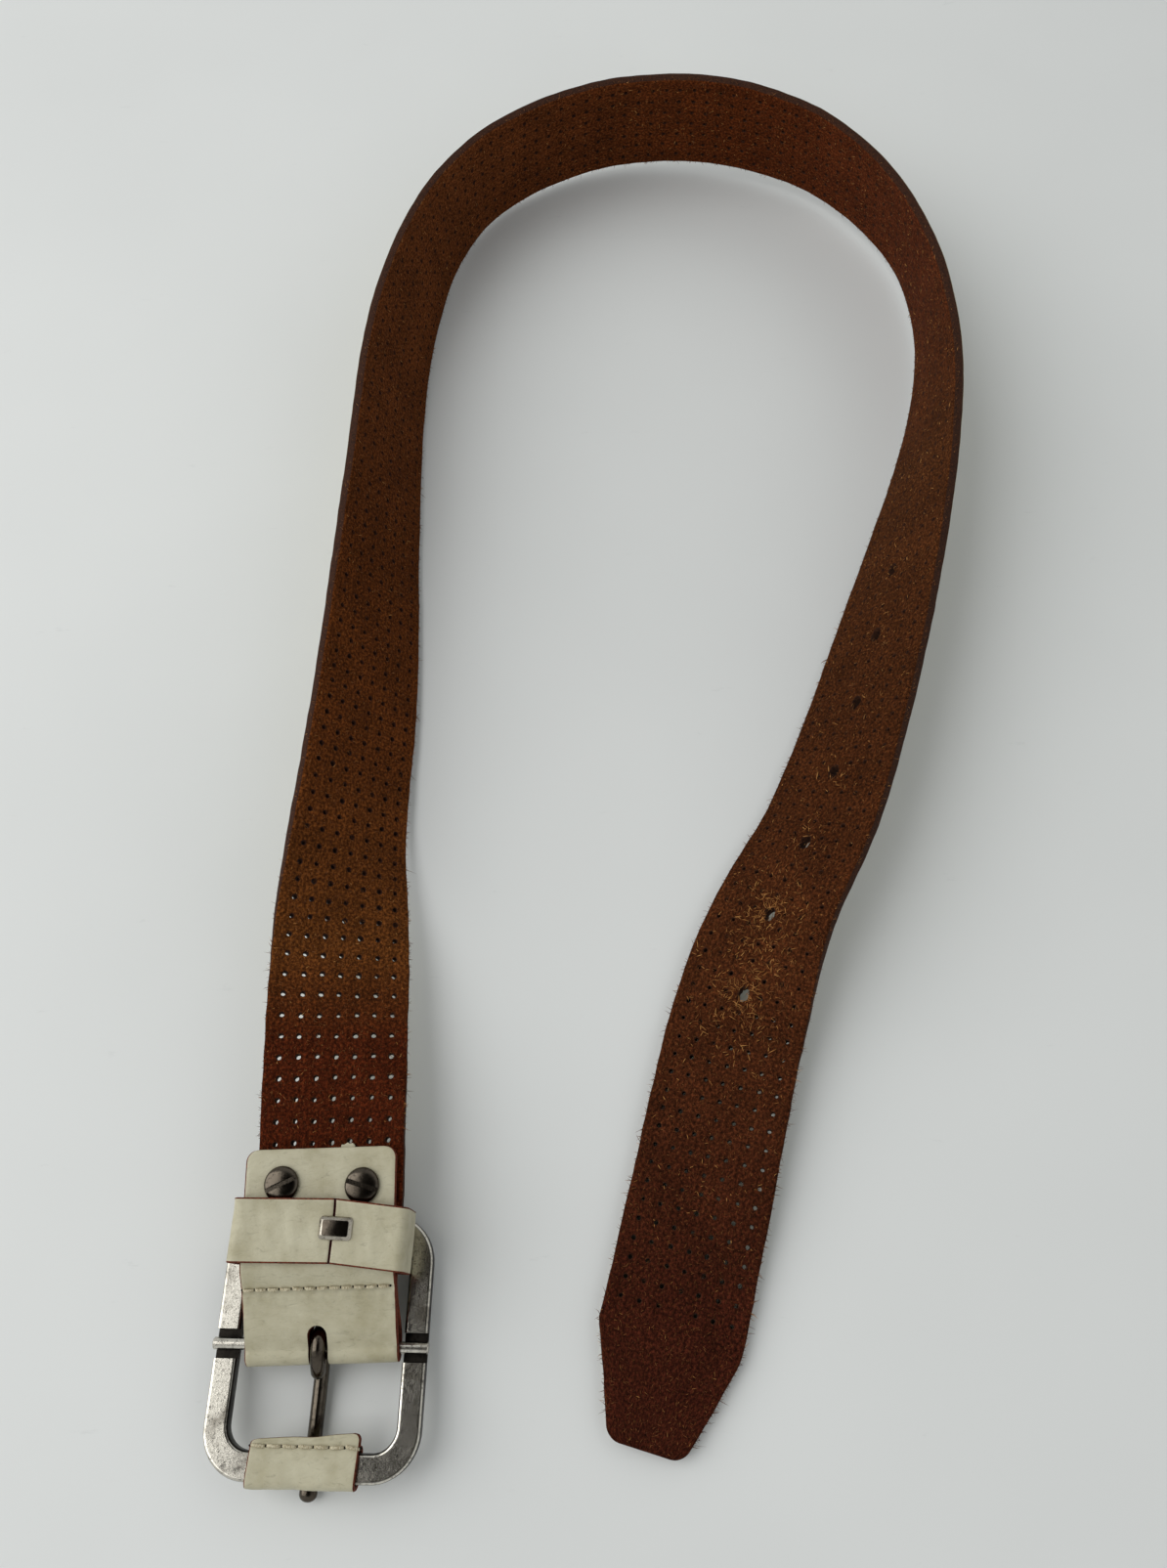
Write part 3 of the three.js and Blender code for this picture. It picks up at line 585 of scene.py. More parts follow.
def curve_through(points, steps):
    """A centripetal Catmull-Rom line through flat points."""
    points = np.asarray(points, float)
    padded = np.vstack([2 * points[0] - points[1], points, 2 * points[-1] - points[-2]])
    line = []
    for i in range(len(points) - 1):
        p = padded[i:i + 4]
        knots = np.concatenate([[0], np.cumsum(np.sqrt(np.linalg.norm(np.diff(p, axis=0), axis=1)))])
        last = i == len(points) - 2
        for t in np.linspace(knots[1], knots[2], steps + 1)[:None if last else -1]:
            a = [((knots[k + 1] - t) * p[k] + (t - knots[k]) * p[k + 1]) / (knots[k + 1] - knots[k])
                 for k in range(3)]
            b = [((knots[k + 2] - t) * a[k] + (t - knots[k]) * a[k + 1]) / (knots[k + 2] - knots[k])
                 for k in range(2)]
            line.append(((knots[2] - t) * b[0] + (t - knots[1]) * b[1]) / (knots[2] - knots[1]))
    return np.array(line)


def resample(line, step, end=None):
    """The same line with even steps, and one short step at each end where end says how long."""
    lengths = np.concatenate([[0], np.cumsum(np.linalg.norm(np.diff(line, axis=0), axis=1))])
    marks = np.linspace(0, lengths[-1], max(2, round(lengths[-1] / step) + 1))
    if end is not None:
        marks = np.sort(np.concatenate([marks, [end, lengths[-1] - end]]))
    return np.stack([np.interp(marks, lengths, line[:, k]) for k in range(2)], axis=1), marks


def strip_piece(name, line, thickness, half_width, columns, place, relief=None, materials=None, rim=0.35,
                step=0.6):
    """A strip of leather of even thickness that follows a flat line, its width across it.

    half_width(distance, length) gives half the width there. relief(x, distance, side) lifts the surface.
    place takes (across, first, second) points. Material 0 is outside, 1 inside and 2 on the edges.
    """
    line, marks = resample(line, step, STRIP_END)
    along = np.gradient(line, marks, axis=0)
    along /= np.linalg.norm(along, axis=1)[:, None]
    outward = np.stack([along[:, 1], -along[:, 0]], axis=1)
    top = thickness / 2
    arc = [(rim * math.sin(a) - rim, rim * math.cos(a) - rim) for a in np.radians([45, 90])]
    shares = np.linspace(-1, 1, columns + 1)
    section = [(share, -rim * abs(share), top, 1) for share in shares]
    section += [(1, dx, top + dw, 0) for dx, dw in arc]
    section += [(1, dx, -top - dw, 0) for dx, dw in reversed(arc)]
    section += [(share, -rim * abs(share), -top, -1) for share in reversed(shares)]
    section += [(-1, dx, -top - dw, 0) for dx, dw in arc]
    section += [(-1, dx, top + dw, 0) for dx, dw in reversed(arc)]
    points, uvs = [], []
    for (a, b), (na, nb), mark in zip(line, outward, marks):
        half = half_width(mark, marks[-1])
        ends = min(mark, marks[-1] - mark)
        squeeze = 1 - 0.35 * max(0.0, 1 - ends / rim)
        for share, inset, height, side in section:
            x = share * (half + inset if side == 0 or abs(share) == 1 else half - rim * abs(share))
            lift = height * squeeze
            if relief is not None:
                lift += relief(x, mark, side)
            points.append((x, a + na * lift, b + nb * lift))
            uvs.append((mark * MM, x * MM))
    count = len(section)
    width = columns + 1
    faces, indices = [], []
    for i in range(len(line) - 1):
        for k in range(count):
            m = (k + 1) % count
            faces.append((i * count + k, i * count + m, (i + 1) * count + m, (i + 1) * count + k))
            inside = width + 4 <= k < 2 * width + 3
            indices.append(0 if k < width - 1 else 1 if inside else 2)
    for base in (0, (len(line) - 1) * count):
        for k in range(width - 1):
            back = 2 * width + 3 - k
            faces.append((base + k, base + k + 1, base + back - 1, base + back))
            indices.append(2)
        faces.append(tuple(base + k for k in range(width - 1, width + 5)))
        faces.append(tuple(base + k % count for k in range(2 * width + 3, count + 1)))
        indices += [2, 2]
    return make_object(name, place(points), faces, materials, indices, uvs)


def tube_piece(name, line, radii, sides, place, materials):
    """A round bar along points (x, y, z) that share one x."""
    line = np.asarray(line, float)
    along = np.gradient(line, axis=0)
    along /= np.linalg.norm(along, axis=1)[:, None]
    across = np.array([1.0, 0, 0])
    points = []
    for middle, direction, radius in zip(line, along, radii):
        up = np.cross(direction, across)
        for k in range(sides):
            angle = 2 * math.pi * k / sides
            points.append(middle + radius * (math.cos(angle) * across + math.sin(angle) * up))
    return make_object(name, place(points), tube_faces(len(line), sides), materials)


def rounded_rectangle(width, height, radius, per_corner=10, per_side=8):
    """Points round a rectangle with round corners, the same number whatever its size."""
    points = []
    x, y = width / 2 - radius, height / 2 - radius
    corners = [(x, y, 0), (-x, y, 90), (-x, -y, 180), (x, -y, 270)]
    for i, (cx, cy, start) in enumerate(corners):
        arc = [(cx + radius * math.cos(a), cy + radius * math.sin(a))
               for a in np.radians(np.linspace(start, start + 90, per_corner + 1))]
        nx, ny, next_start = corners[(i + 1) % 4]
        turn = math.radians(next_start)
        target = (nx + radius * math.cos(turn), ny + radius * math.sin(turn))
        points += arc
        points += [(arc[-1][0] + (target[0] - arc[-1][0]) * k / per_side,
                    arc[-1][1] + (target[1] - arc[-1][1]) * k / per_side) for k in range(1, per_side)]
    return points


# ------------------------------------------------------------------ the strap's course


def route_at(distance):
    """x, y, lift and lean at distances along the strap, as a smooth curve through the route's points."""
    last = len(MARKS) - 1
    i = np.clip(np.searchsorted(MARKS, distance, side="right") - 1, 0, last - 1)
    ahead = np.minimum(np.arange(last + 1) + 1, last)
    behind = np.maximum(np.arange(last + 1) - 1, 0)
    slopes = (ROUTE[ahead] - ROUTE[behind]) / (MARKS[ahead] - MARKS[behind])[:, None]
    span = (MARKS[i + 1] - MARKS[i])[:, None]
    u = ((distance - MARKS[i])[:, None]) / span
    return ((2 * u ** 3 - 3 * u ** 2 + 1) * ROUTE[i] + (u ** 3 - 2 * u ** 2 + u) * span * slopes[i]
            + (3 * u ** 2 - 2 * u ** 3) * ROUTE[i + 1] + (u ** 3 - u ** 2) * span * slopes[i + 1])


def strap_frames(distance):
    """The strap's middle, and its directions along, across and out of its back."""
    distance = np.asarray(distance, float)
    x, y, lift, lean = route_at(distance).T
    reach = 0.5
    ahead = route_at(np.minimum(distance + reach, STRAP_LENGTH))[:, :2]
    behind = route_at(np.maximum(distance - reach, 0))[:, :2]
    heading = (ahead - behind) / np.linalg.norm(ahead - behind, axis=1)[:, None]
    zero = np.zeros(len(distance))
    along = np.stack([heading[:, 0], heading[:, 1], zero], axis=1)
    outward = np.stack([-heading[:, 1], heading[:, 0], zero], axis=1)
    up = np.array([0.0, 0, 1])
    sin, cos = np.sin(np.radians(lean))[:, None], np.cos(np.radians(lean))[:, None]
    across = outward * cos + up * sin
    back = up * cos - outward * sin
    z = lift + STRAP_WIDTH / 2 * np.abs(sin[:, 0]) + STRAP_THICK / 2 * np.abs(cos[:, 0])
    return np.stack([x, y, z], axis=1), along, across, back


def strap_half_width(distance):
    from_tip = STRAP_LENGTH - np.asarray(distance, float)
    full = STRAP_WIDTH / 2
    taper = TIP_END_WIDTH / 2 + (full - TIP_END_WIDTH / 2) * from_tip / TIP_LENGTH
    inside = np.clip(TIP_CORNER - from_tip, 0, TIP_CORNER)
    rounding = TIP_CORNER - np.sqrt(TIP_CORNER ** 2 - inside ** 2)
    return np.where(from_tip >= TIP_LENGTH, full, taper - rounding)


def strap_place(distance, across, height):
    """Strap coordinates to the row frame: along it, across it at full width, and out of its middle."""
    distance = np.asarray(distance, float)
    middle, _, sideways, back = strap_frames(distance)
    narrow = strap_half_width(distance) / (STRAP_WIDTH / 2)
    edge = (np.abs(across) / (STRAP_WIDTH / 2)) ** 6
    sway = 0.14 * edge * wobble(distance / 3.1, np.sign(across) * 2.0, 1)
    wave = 0.10 * wobble(distance / 9.0, across / 7.0, 2) * np.sign(height) * (height > 0)
    spread = (across * narrow + sway)[:, None] * sideways
    return to_row(middle + spread + (height + wave)[:, None] * back)


def strap_rows():
    """Distances of the rows of perforations."""
    rows = [FIRST_ROW]
    last = STRAP_LENGTH - LAST_ROW_FROM_TIP
    while rows[-1] < EASED_AT:
        share = np.clip((rows[-1] - WIDE_UNTIL) / (EASED_AT - WIDE_UNTIL), 0, 1)
        rows.append(rows[-1] + ROW_PITCH_START + (ROW_PITCH - ROW_PITCH_START) * share)
    count = round((last - rows[-1]) / ROW_PITCH)
    even = np.linspace(rows[-1], last, count + 1)[1:]
    return np.concatenate([rows, even])


def strap_stations(rows):
    """Where the mesh has a ring, and the number of the ring that starts each row's cell."""
    bounds = np.concatenate([[1.5 * rows[0] - 0.5 * rows[1]], (rows[1:] + rows[:-1]) / 2,
                             [1.5 * rows[-1] - 0.5 * rows[-2]]])
    before = np.linspace(0, bounds[0], 11)[:-1]
    cells = [np.linspace(bounds[i], bounds[i + 1], CELL_STEPS + 1)[:-1] for i in range(len(rows))]
    plain = np.arange(bounds[-1], STRAP_LENGTH - TIP_CORNER, 2.0)
    tip = STRAP_LENGTH - TIP_CORNER * np.array([1, 0.8, 0.6, 0.42, 0.26, 0.13, 0.04, 0])
    stations = np.concatenate([before, *cells, plain, tip])
    return stations, len(before) + CELL_STEPS * np.arange(len(rows))


def strap_holes(rows, starts):
    """Every hole: its ring of lattice bounds, its centre, its two radii and how ragged it is."""
    rng = np.random.default_rng(SEED)
    middle = COLUMNS // 2
    holes, taken = [], set()
    for k in range(HOLE_COUNT):
        centre = STRAP_LENGTH - HOLE_FROM_TIP - k * HOLE_PITCH
        bounds = (rows[1:] + rows[:-1]) / 2
        i = int(np.argmin(np.abs(bounds - centre)))
        taken |= {i, i + 1}
        first = 1 + CELL_STEPS * middle
        holes.append(((starts[i], starts[i] + 2 * CELL_STEPS, first, first + CELL_STEPS),
                      (centre, rng.uniform(-0.3, 0.3)), HOLE_RADII, 0.13))
    for i, row in enumerate(rows):
        for column in range(COLUMNS):
            missing = i == len(rows) - 1 and column == middle
            if missing or (column == middle and i in taken):
                continue
            across = (column - middle) * COLUMN_PITCH
            first = 1 + CELL_STEPS * column
            fill = np.interp(row / STRAP_LENGTH, [0.1, 0.3, 0.9, 1], [1, 0.84, 0.8, 0.9])
            radius = PERFORATION_RADIUS * (rng.uniform(0.82, 1.06) * fill)
            centre = (row + rng.uniform(-0.16, 0.16), across + rng.uniform(-0.16, 0.16))
            radii = (radius * rng.uniform(0.93, 1.07), radius)
            cell = (starts[i], starts[i] + CELL_STEPS, first, first + CELL_STEPS)
            holes.append((cell, centre, radii, 0.07))
    return holes


def make_strap():
    """The strap with every perforation cut through it, in strap coordinates and then laid on its course."""
    rng = np.random.default_rng(SEED + 1)
    rows = strap_rows()
    stations, starts = strap_stations(rows)
    half, top = STRAP_WIDTH / 2, STRAP_THICK / 2
    inner = COLUMNS * COLUMN_PITCH / 2
    lattice = np.concatenate([[-half + STRAP_RIM], np.linspace(-inner, inner, COLUMNS * CELL_STEPS + 1),
                              [half - STRAP_RIM]])
    arc = np.radians([30, 60, 90])
    rim = [(half - STRAP_RIM + STRAP_RIM * math.sin(a), top - STRAP_RIM + STRAP_RIM * math.cos(a))
           for a in arc]
    rim += [(v, -w) for v, w in reversed(rim)]
    wide = len(lattice)
    per_ring = 2 * wide + 2 * len(rim)
    ring = [(v, top) for v in lattice] + rim + [(v, -top) for v in reversed(lattice)]
    ring += [(-v, -w) for v, w in rim]
    coords = [(s, v, w) for s in stations for v, w in ring]
    faces, indices = [], []

    def back_point(i, j):
        return i * per_ring + j

    def front_point(i, j):
        return i * per_ring + 2 * wide + len(rim) - 1 - j

    def rim_material(k):
        """Suede nearest the back, cream nearest the front, and the dyed edge between them."""
        step = k - (wide - 1) if k < wide + len(rim) else per_ring - 1 - k
        return 0 if step < 2 else 1 if step > len(rim) - 2 else 2

    holes = strap_holes(rows, starts)
    open_cells = {(i, j) for (i0, i1, j0, j1), *_ in holes for i in range(i0, i1) for j in range(j0, j1)}
    for i in range(len(stations) - 1):
        for k in range(per_ring):
            m = (k + 1) % per_ring
            on_back = k < wide - 1
            on_front = wide + len(rim) <= k < 2 * wide + len(rim) - 1
            column = k if on_back else 2 * wide + len(rim) - 2 - k
            if (on_back or on_front) and (i, column) in open_cells:
                continue
            low, high = i * per_ring, (i + 1) * per_ring
            faces.append((low + k, low + m, high + m, high + k))
            indices.append(0 if on_back else 1 if on_front else rim_material(k))
    for base in (0, (len(stations) - 1) * per_ring):
        for j in range(wide - 1):
            far = 2 * wide + len(rim) - 1
            faces.append((base + j, base + j + 1, base + far - j - 1, base + far - j))
            indices.append(2)
        faces.append(tuple(base + k for k in range(wide - 1, wide + len(rim) + 1)))
        faces.append(tuple(base + k % per_ring for k in range(2 * wide + len(rim) - 1, per_ring + 1)))
        indices += [2, 2]

    for (i0, i1, j0, j1), (s, v), (rs, rv), ragged in holes:
        edge = [(i, j0) for i in range(i0, i1)] + [(i1, j) for j in range(j0, j1)]
        edge += [(i, j1) for i in range(i1, i0, -1)] + [(i0, j) for j in range(j1, j0, -1)]
        corners = [(i0, j0), (i1, j0), (i1, j1), (i0, j1)]
        turns = [math.atan2((lattice[j] - v) / rv, (stations[i] - s) / rs) for i, j in corners]
        angles = []
        for a, b, steps in zip(turns, turns[1:] + turns[:1], (i1 - i0, j1 - j0) * 2):
            sweep = (b - a) % (2 * math.pi)
            angles += [a + sweep * k / steps for k in range(steps)]
        count = len(edge)
        wear = 1 + ragged * rng.uniform(-1, 1, count)
        first = len(coords)
        for height, spread in ((top, HOLE_CHAMFER), (top - HOLE_CHAMFER, 0), (HOLE_CHAMFER - top, 0),
                               (-top, HOLE_CHAMFER)):
            coords += [(s + (rs * w + spread) * math.cos(a), v + (rv * w + spread) * math.sin(a), height)
                       for a, w in zip(angles, wear)]
        for k in range(count):
            m = (k + 1) % count
            faces.append((back_point(*edge[k]), back_point(*edge[m]), first + m, first + k))
            faces.append((front_point(*edge[k]), front_point(*edge[m]), first + 3 * count + m,
                          first + 3 * count + k))
            indices += [0, 1]
            for level in range(3):
                low, high = first + level * count, first + (level + 1) * count
                faces.append((low + k, low + m, high + m, high + k))
                indices.append(2)

    coords = np.array(coords)
    points = strap_place(coords[:, 0], coords[:, 1], coords[:, 2])
    strap = make_object("strap_leather", points, faces, [SUEDE, CREAM, DYED_EDGE], indices,
                        coords[:, :2] * MM)
    sharpen(strap, 50)
    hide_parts("strap")
    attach(strap, "belt")
    return strap


def fibres(name, distance, across, height, heading, rise, length, radius, materials, indices):
    """Loose leather fibres, each a bent three-sided hair that starts on the strap.

    heading turns from along the strap to across it, and rise is out of the strap's back, in radians.
    """
    rng = np.random.default_rng(SEED + len(distance))
    base = strap_place(distance, across, height)
    _, along, sideways, back = strap_frames(distance)

    def direction(turn, climb):
        flat = np.cos(turn)[:, None] * along + np.sin(turn)[:, None] * sideways
        return np.cos(climb)[:, None] * flat + np.sin(climb)[:, None] * back

    count = len(distance)
    first = direction(heading, rise)
    second = direction(heading + rng.normal(0, 0.2, count), rise * rng.uniform(-0.5, 0.9, count))
    reach = (length * MM)[:, None]
    middle = base + first * reach * 0.5
    tip = middle + second * reach * 0.5
    thick = (radius * MM)[:, None]
    side = np.cross(first, back + 0.3 * along)
    side /= np.linalg.norm(side, axis=1)[:, None]
    other = np.cross(first, side)
    ring = [side, -0.5 * side + 0.87 * other, -0.5 * side - 0.87 * other]
    low, high = [base + thick * r for r in ring], [middle + 0.8 * thick * r for r in ring]
    points = np.stack([*low, *high, tip], axis=1)
    points[..., 2] = np.maximum(points[..., 2], FIBRE_FLOOR * MM)
    faces = []
    for k in range(count):
        b = 7 * k
        faces += [(b, b + 2, b + 1), (b, b + 1, b + 4, b + 3), (b + 1, b + 2, b + 5, b + 4),
                  (b + 2, b, b + 3, b + 5), (b + 3, b + 4, b + 6), (b + 4, b + 5, b + 6),
                  (b + 5, b + 3, b + 6)]
    piece = make_object(name, points.reshape(-1, 3), faces, materials, np.repeat(indices, 7))
    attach(piece, "belt")
    return piece


def fibre_shades(rng, count, tan, straw):
    """Material numbers: mostly brown, with these shares of tan and straw."""
    draw = rng.uniform(0, 1, count)
    return (draw < tan + straw).astype(int) + (draw < straw).astype(int)


def make_nap():
    """Short fibres that lie on the suede."""
    rng = np.random.default_rng(SEED + 2)
    count = NAP_COUNT
    distance = rng.uniform(28, STRAP_LENGTH - 1, count)
    across = rng.uniform(-0.98, 0.98, count) * STRAP_WIDTH / 2
    length = rng.uniform(0.5, 1.5, count)
    return fibres("suede_nap", distance, across, np.full(count, STRAP_THICK / 2 - 0.04),
                  rng.uniform(0, 2 * math.pi, count), rng.uniform(0.1, 0.7, count), length,
                  rng.uniform(0.045, 0.085, count), FIBRES, fibre_shades(rng, count, 0.35, 0.05))


def make_edge_fuzz():
    """Fibres that stand out of the strap's two edges."""
    rng = np.random.default_rng(SEED + 3)
    count = FUZZ_COUNT
    distance = rng.uniform(30, STRAP_LENGTH - 4, count)
    side = rng.choice([-1, 1], count)
    height = rng.uniform(0.1, 0.95, count) * STRAP_THICK / 2
    heading = side * (math.pi / 2 + rng.normal(0, 0.6, count))
    return fibres("edge_fuzz", distance, side * (STRAP_WIDTH / 2 - 0.3), height, heading,
                  rng.uniform(-0.2, 0.6, count), rng.gamma(3, 0.3, count), rng.uniform(0.05, 0.10, count),
                  FIBRES, fibre_shades(rng, count, 0.3, 0.05))


def make_torn_fibres():
    """Long pale fibres torn up round the adjusting holes, most at the two nearest the tip."""
    rng = np.random.default_rng(SEED + 4)
    distance, across, length = [], [], []
    for k, (count, spread) in enumerate(TORN_FIBRES):
        centre = STRAP_LENGTH - HOLE_FROM_TIP - k * HOLE_PITCH
        turn = rng.uniform(0, 2 * math.pi, count)
        reach = spread * np.abs(rng.normal(0, 6.0, count)) + 1.6
        distance.append(centre + 1.2 * reach * np.cos(turn))
        across.append(np.clip(reach * np.sin(turn), -18, 18))
        length.append(rng.uniform(0.9, 2.8, count))
    distance.append(rng.uniform(0.42, 0.95, SCATTERED_COUNT) * STRAP_LENGTH)
    across.append(rng.uniform(-18, 18, SCATTERED_COUNT))
    length.append(rng.uniform(0.6, 1.7, SCATTERED_COUNT))
    distance, across, length = np.concatenate(distance), np.concatenate(across), np.concatenate(length)
    count = len(distance)
    return fibres("torn_fibres", distance, across, np.full(count, STRAP_THICK / 2 - 0.04),
                  rng.uniform(0, 2 * math.pi, count), rng.uniform(0.1, 0.5, count),
                  length, rng.uniform(0.075, 0.13, count), FIBRES, fibre_shades(rng, count, 0.45, 0.4))


# ------------------------------------------------------------------ the buckle tab


def tab_line():
    """Middle of the tab's leather, from its back layer round the bar to its front layer."""
    play = TAB_WIDTH / 2 * math.sin(math.radians(-BUCKLE_SKEW))

    def layer(z):
        return [(TAB_TOP, z), (TAB_TOP / 2, z), (-1, z), (TAB_LAYER_END, z)]

    def arc(y, degrees):
        return [(y + TAB_FOLD_RADIUS * math.cos(a), BAR_Z + TAB_FOLD_RADIUS * math.sin(a))
                for a in np.radians(degrees)]

    points = layer(TAB_BACK_Z) + [(TAB_SEAM_Y, TAB_SEAM_Z + TAB_SEAM_HALF)]
    points += arc(BUCKLE_Y - play, range(75, 256, 30)) + arc(BUCKLE_Y + play, (275, 300))
    points += [(TAB_SEAM_Y, TAB_SEAM_Z - TAB_SEAM_HALF)] + layer(TAB_FRONT_Z)[::-1]
    return curve_through(points, 8)


def tab_relief(x, mark, side):
    """Groove and puckers at the stitch row, and creases in the leather below it."""
    if side != 1:
        return 0.0
    seam = TAB_TOP - TAB_SEAM_Y + 1.2
    from_seam = mark - seam
    groove = -0.38 * math.exp(-(from_seam / 0.8) ** 2)
    pucker = 0.17 * math.cos(2 * math.pi * x / STITCH) * math.exp(-((from_seam - 1.7) / 1.3) ** 2)
    slack = max(0.0, 1 - abs(from_seam - 4.5) / 4.5)
    crease = 0.22 * slack * float(wobble(np.array(x / 2.4), np.array(mark * 2.2), 11))
    sway = 0.05 * float(wobble(np.array(x / 5.0), np.array(mark / 4.0), 12))
    bulge = 0.9 * math.exp(-((from_seam - TAB_BULGE_AT) / TAB_BULGE_HALF) ** 2)
    return groove + pucker + crease + sway + bulge


def make_tab():
    def half_width(mark, length):
        ends = min(mark, length - mark)
        inside = max(0.0, TAB_CORNER - ends)
        rounding = TAB_CORNER - math.sqrt(TAB_CORNER ** 2 - inside ** 2)
        return TAB_WIDTH / 2 - rounding

    tab = strip_piece("tab_leather", tab_line(), TAB_THICK, half_width, 36, tab_place, tab_relief,
                      [CREAM, RAW_INSIDE, RAW_EDGE])
    split = BAR_Z + TAB_SLOT_SPLIT
    cutters = []
    radius = TAB_SLOT_WIDTH / 2
    for end, low, high in ((TAB_SLOT_ENDS[0], split, CUT_CLEAR), (TAB_SLOT_ENDS[1], -CUT_CLEAR, split)):
        arc = [(radius * math.cos(a), end - radius + radius * math.sin(a))
               for a in np.linspace(0, math.pi, 13)]
        outline = [(x + BUCKLE_X - TAB_X, y) for x, y in arc + [(-radius, -CUT_CLEAR), (radius, -CUT_CLEAR)]]
        cutters.append(prism(outline, low, high, tab_place, [CREAM, RAW_INSIDE, RAW_EDGE], 2))
    cut_away(tab, cutters)
    sharpen(tab, 55)
    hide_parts("buckle_tab")
    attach(tab, "belt")
    return tab


def make_tab_scrap():
    """A torn sliver of cream leather that sticks out past the tab's far edge."""
    outline = [(4.7, 21.7), (8.6, 21.6), (8.5, 22.5), (7.9, 23.1), (7.1, 22.9), (6.6, 23.3), (5.7, 22.7),
               (5.0, 22.8)]
    low = TAB_BACK_Z - TAB_THICK / 2
    scrap = prism(outline, low, low + 0.7, tab_place, [CREAM], 0)
    scrap.name = "tab_scrap"
    soften = scrap.modifiers.new("soften", "BEVEL")
    soften.width = 0.15 * MM
    soften.segments = 2
    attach(scrap, "belt")
    return scrap


def thread_points(rng, centre, half):
    """One stitch: an arched length of thread that narrows and sinks at its ends."""
    turn = math.radians(rng.normal(0, THREAD_TILT))
    cos, sin = math.cos(turn), math.sin(turn)
    points = []
    for k in range(THREAD_STEPS):
        share = k / (THREAD_STEPS - 1) * 2 - 1
        x, height = half * share, THREAD_ARCH * (1 - share ** 4) - THREAD_SINK + rng.normal(0, 0.01)
        radius = THREAD_RADIUS * (1 - 0.25 * abs(share) ** 3)
        for m in range(THREAD_SIDES):
            a = 2 * math.pi * m / THREAD_SIDES
            y = radius * math.cos(a)
            points.append((centre + x * cos - y * sin, x * sin + y * cos, height + radius * math.sin(a)))
    return points


def stitch_row(name, length, pitch, place, node, body):
    """A row of single stitches that dive into needle holes, in a frame whose +X runs along the row. Each
    needle hole is a dark plug of painted shade.
    """
    rng = np.random.default_rng(SEED + int(length))
    count = int(length / pitch)
    points, faces, indices = [], [], []
    for i in range(count):
        added = tube_faces(THREAD_STEPS, THREAD_SIDES, len(points))
        points += thread_points(rng, (i - (count - 1) / 2) * pitch, pitch / 2 - 0.18)
        faces += added
        indices += [0] * len(added)
    # Each needle hole is a short dark plug set into the leather: painted shade standing in for the hole.
    for i in range(count + 1):
        added = tube_faces(2, NEEDLE_HOLE_SIDES, len(points))
        centre = (i - count / 2) * pitch
        hole = (round_points(0.36, 0.34, NEEDLE_HOLE_SIDES, 0.05)
                + round_points(0.26, 0.24, NEEDLE_HOLE_SIDES, -0.3))
        points += [(centre + x, y, z) for x, y, z in hole]
        faces += added
        indices += [1] * len(added)
    row = make_object(name, place(points), faces, [THREAD, NEEDLE_HOLE_SHADE], indices)
    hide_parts(node)
    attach(row, body)
    return row


def make_tab_stitches():
    slope = math.degrees(math.atan2(TAB_BACK_Z - BAR_Z - TAB_FOLD_RADIUS, 20))
    height = TAB_SEAM_Z + TAB_SEAM_HALF + 0.6 * TAB_THICK - 0.12

    def place(points):
        return to_row(turned(points, slope, 0, (TAB_X - 0.5, TAB_SEAM_Y, height)))

    return stitch_row("tab_stitches", TAB_WIDTH - 1, STITCH, place, "tab_thread", "belt")


# ------------------------------------------------------------------ screws


def make_screw(side, turn, node):
    offset = side * SCREW_SPACING / 2
    skew = math.radians(SCREW_SKEW)
    centre = (SCREW_X + offset * math.cos(skew), SCREW_Y + offset * math.sin(skew), SCREW_BASE_Z)

    def place(points):
        return to_row(turned(points, 0, 0, centre))

    profile = [(SCREW_RADIUS - 0.15, 0), (SCREW_RADIUS, 0.12), (SCREW_RADIUS, 0.35)]
    profile.append((SCREW_RADIUS * 0.97, 0.5))
    profile += [(SCREW_RADIUS * math.sin(a) * 0.97, 0.5 + (SCREW_DOME - 0.5) * math.cos(a))
                for a in np.radians([78, 66, 54, 42, 30, 18, 8])]
    sides = 48
    points = [point for r, z in profile for point in round_points(r, r, sides, z)]
    head = make_object(node + "_head", place(points), tube_faces(len(profile), sides), [DARK_NICKEL])
    width, depth = SCREW_SLOT
    reach = SCREW_RADIUS + 1.5
    bar = [(-reach, -width / 2), (reach, -width / 2), (reach, width / 2), (-reach, width / 2)]
    cos, sin = math.cos(math.radians(turn)), math.sin(math.radians(turn))
    outline = [(x * cos - y * sin, x * sin + y * cos) for x, y in bar]
    cut_away(head, [prism(outline, SCREW_DOME - depth, 4, place, [DARK_NICKEL], 0)])
    sharpen(head, 35)
    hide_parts(node)
    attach(head, "belt")
    return head


# ------------------------------------------------------------------ keeper


def keeper_line():
    """Middle of the keeper's leather, in x and z, once round from its butt seam."""
    half, corner = KEEPER_HALF_WIDTH + KEEPER_WALL / 2, KEEPER_CORNER - KEEPER_WALL / 2
    low, high = KEEPER_FLOOR - KEEPER_WALL / 2, KEEPER_CEILING + KEEPER_WALL / 2
    gap = 0.1
    line = [(KEEPER_SEAM_X - gap, high)]
    centres = [(-half + corner, high - corner, 90), (-half + corner, low + corner, 180),
               (half - corner, low + corner, 270), (half - corner, high - corner, 0)]
    for x, z, start in centres:
        line += [(x + corner * math.cos(a), z + corner * math.sin(a))
                 for a in np.radians(np.linspace(start, start + 90, 7))]
    return np.array(line + [(KEEPER_SEAM_X + gap, high)])


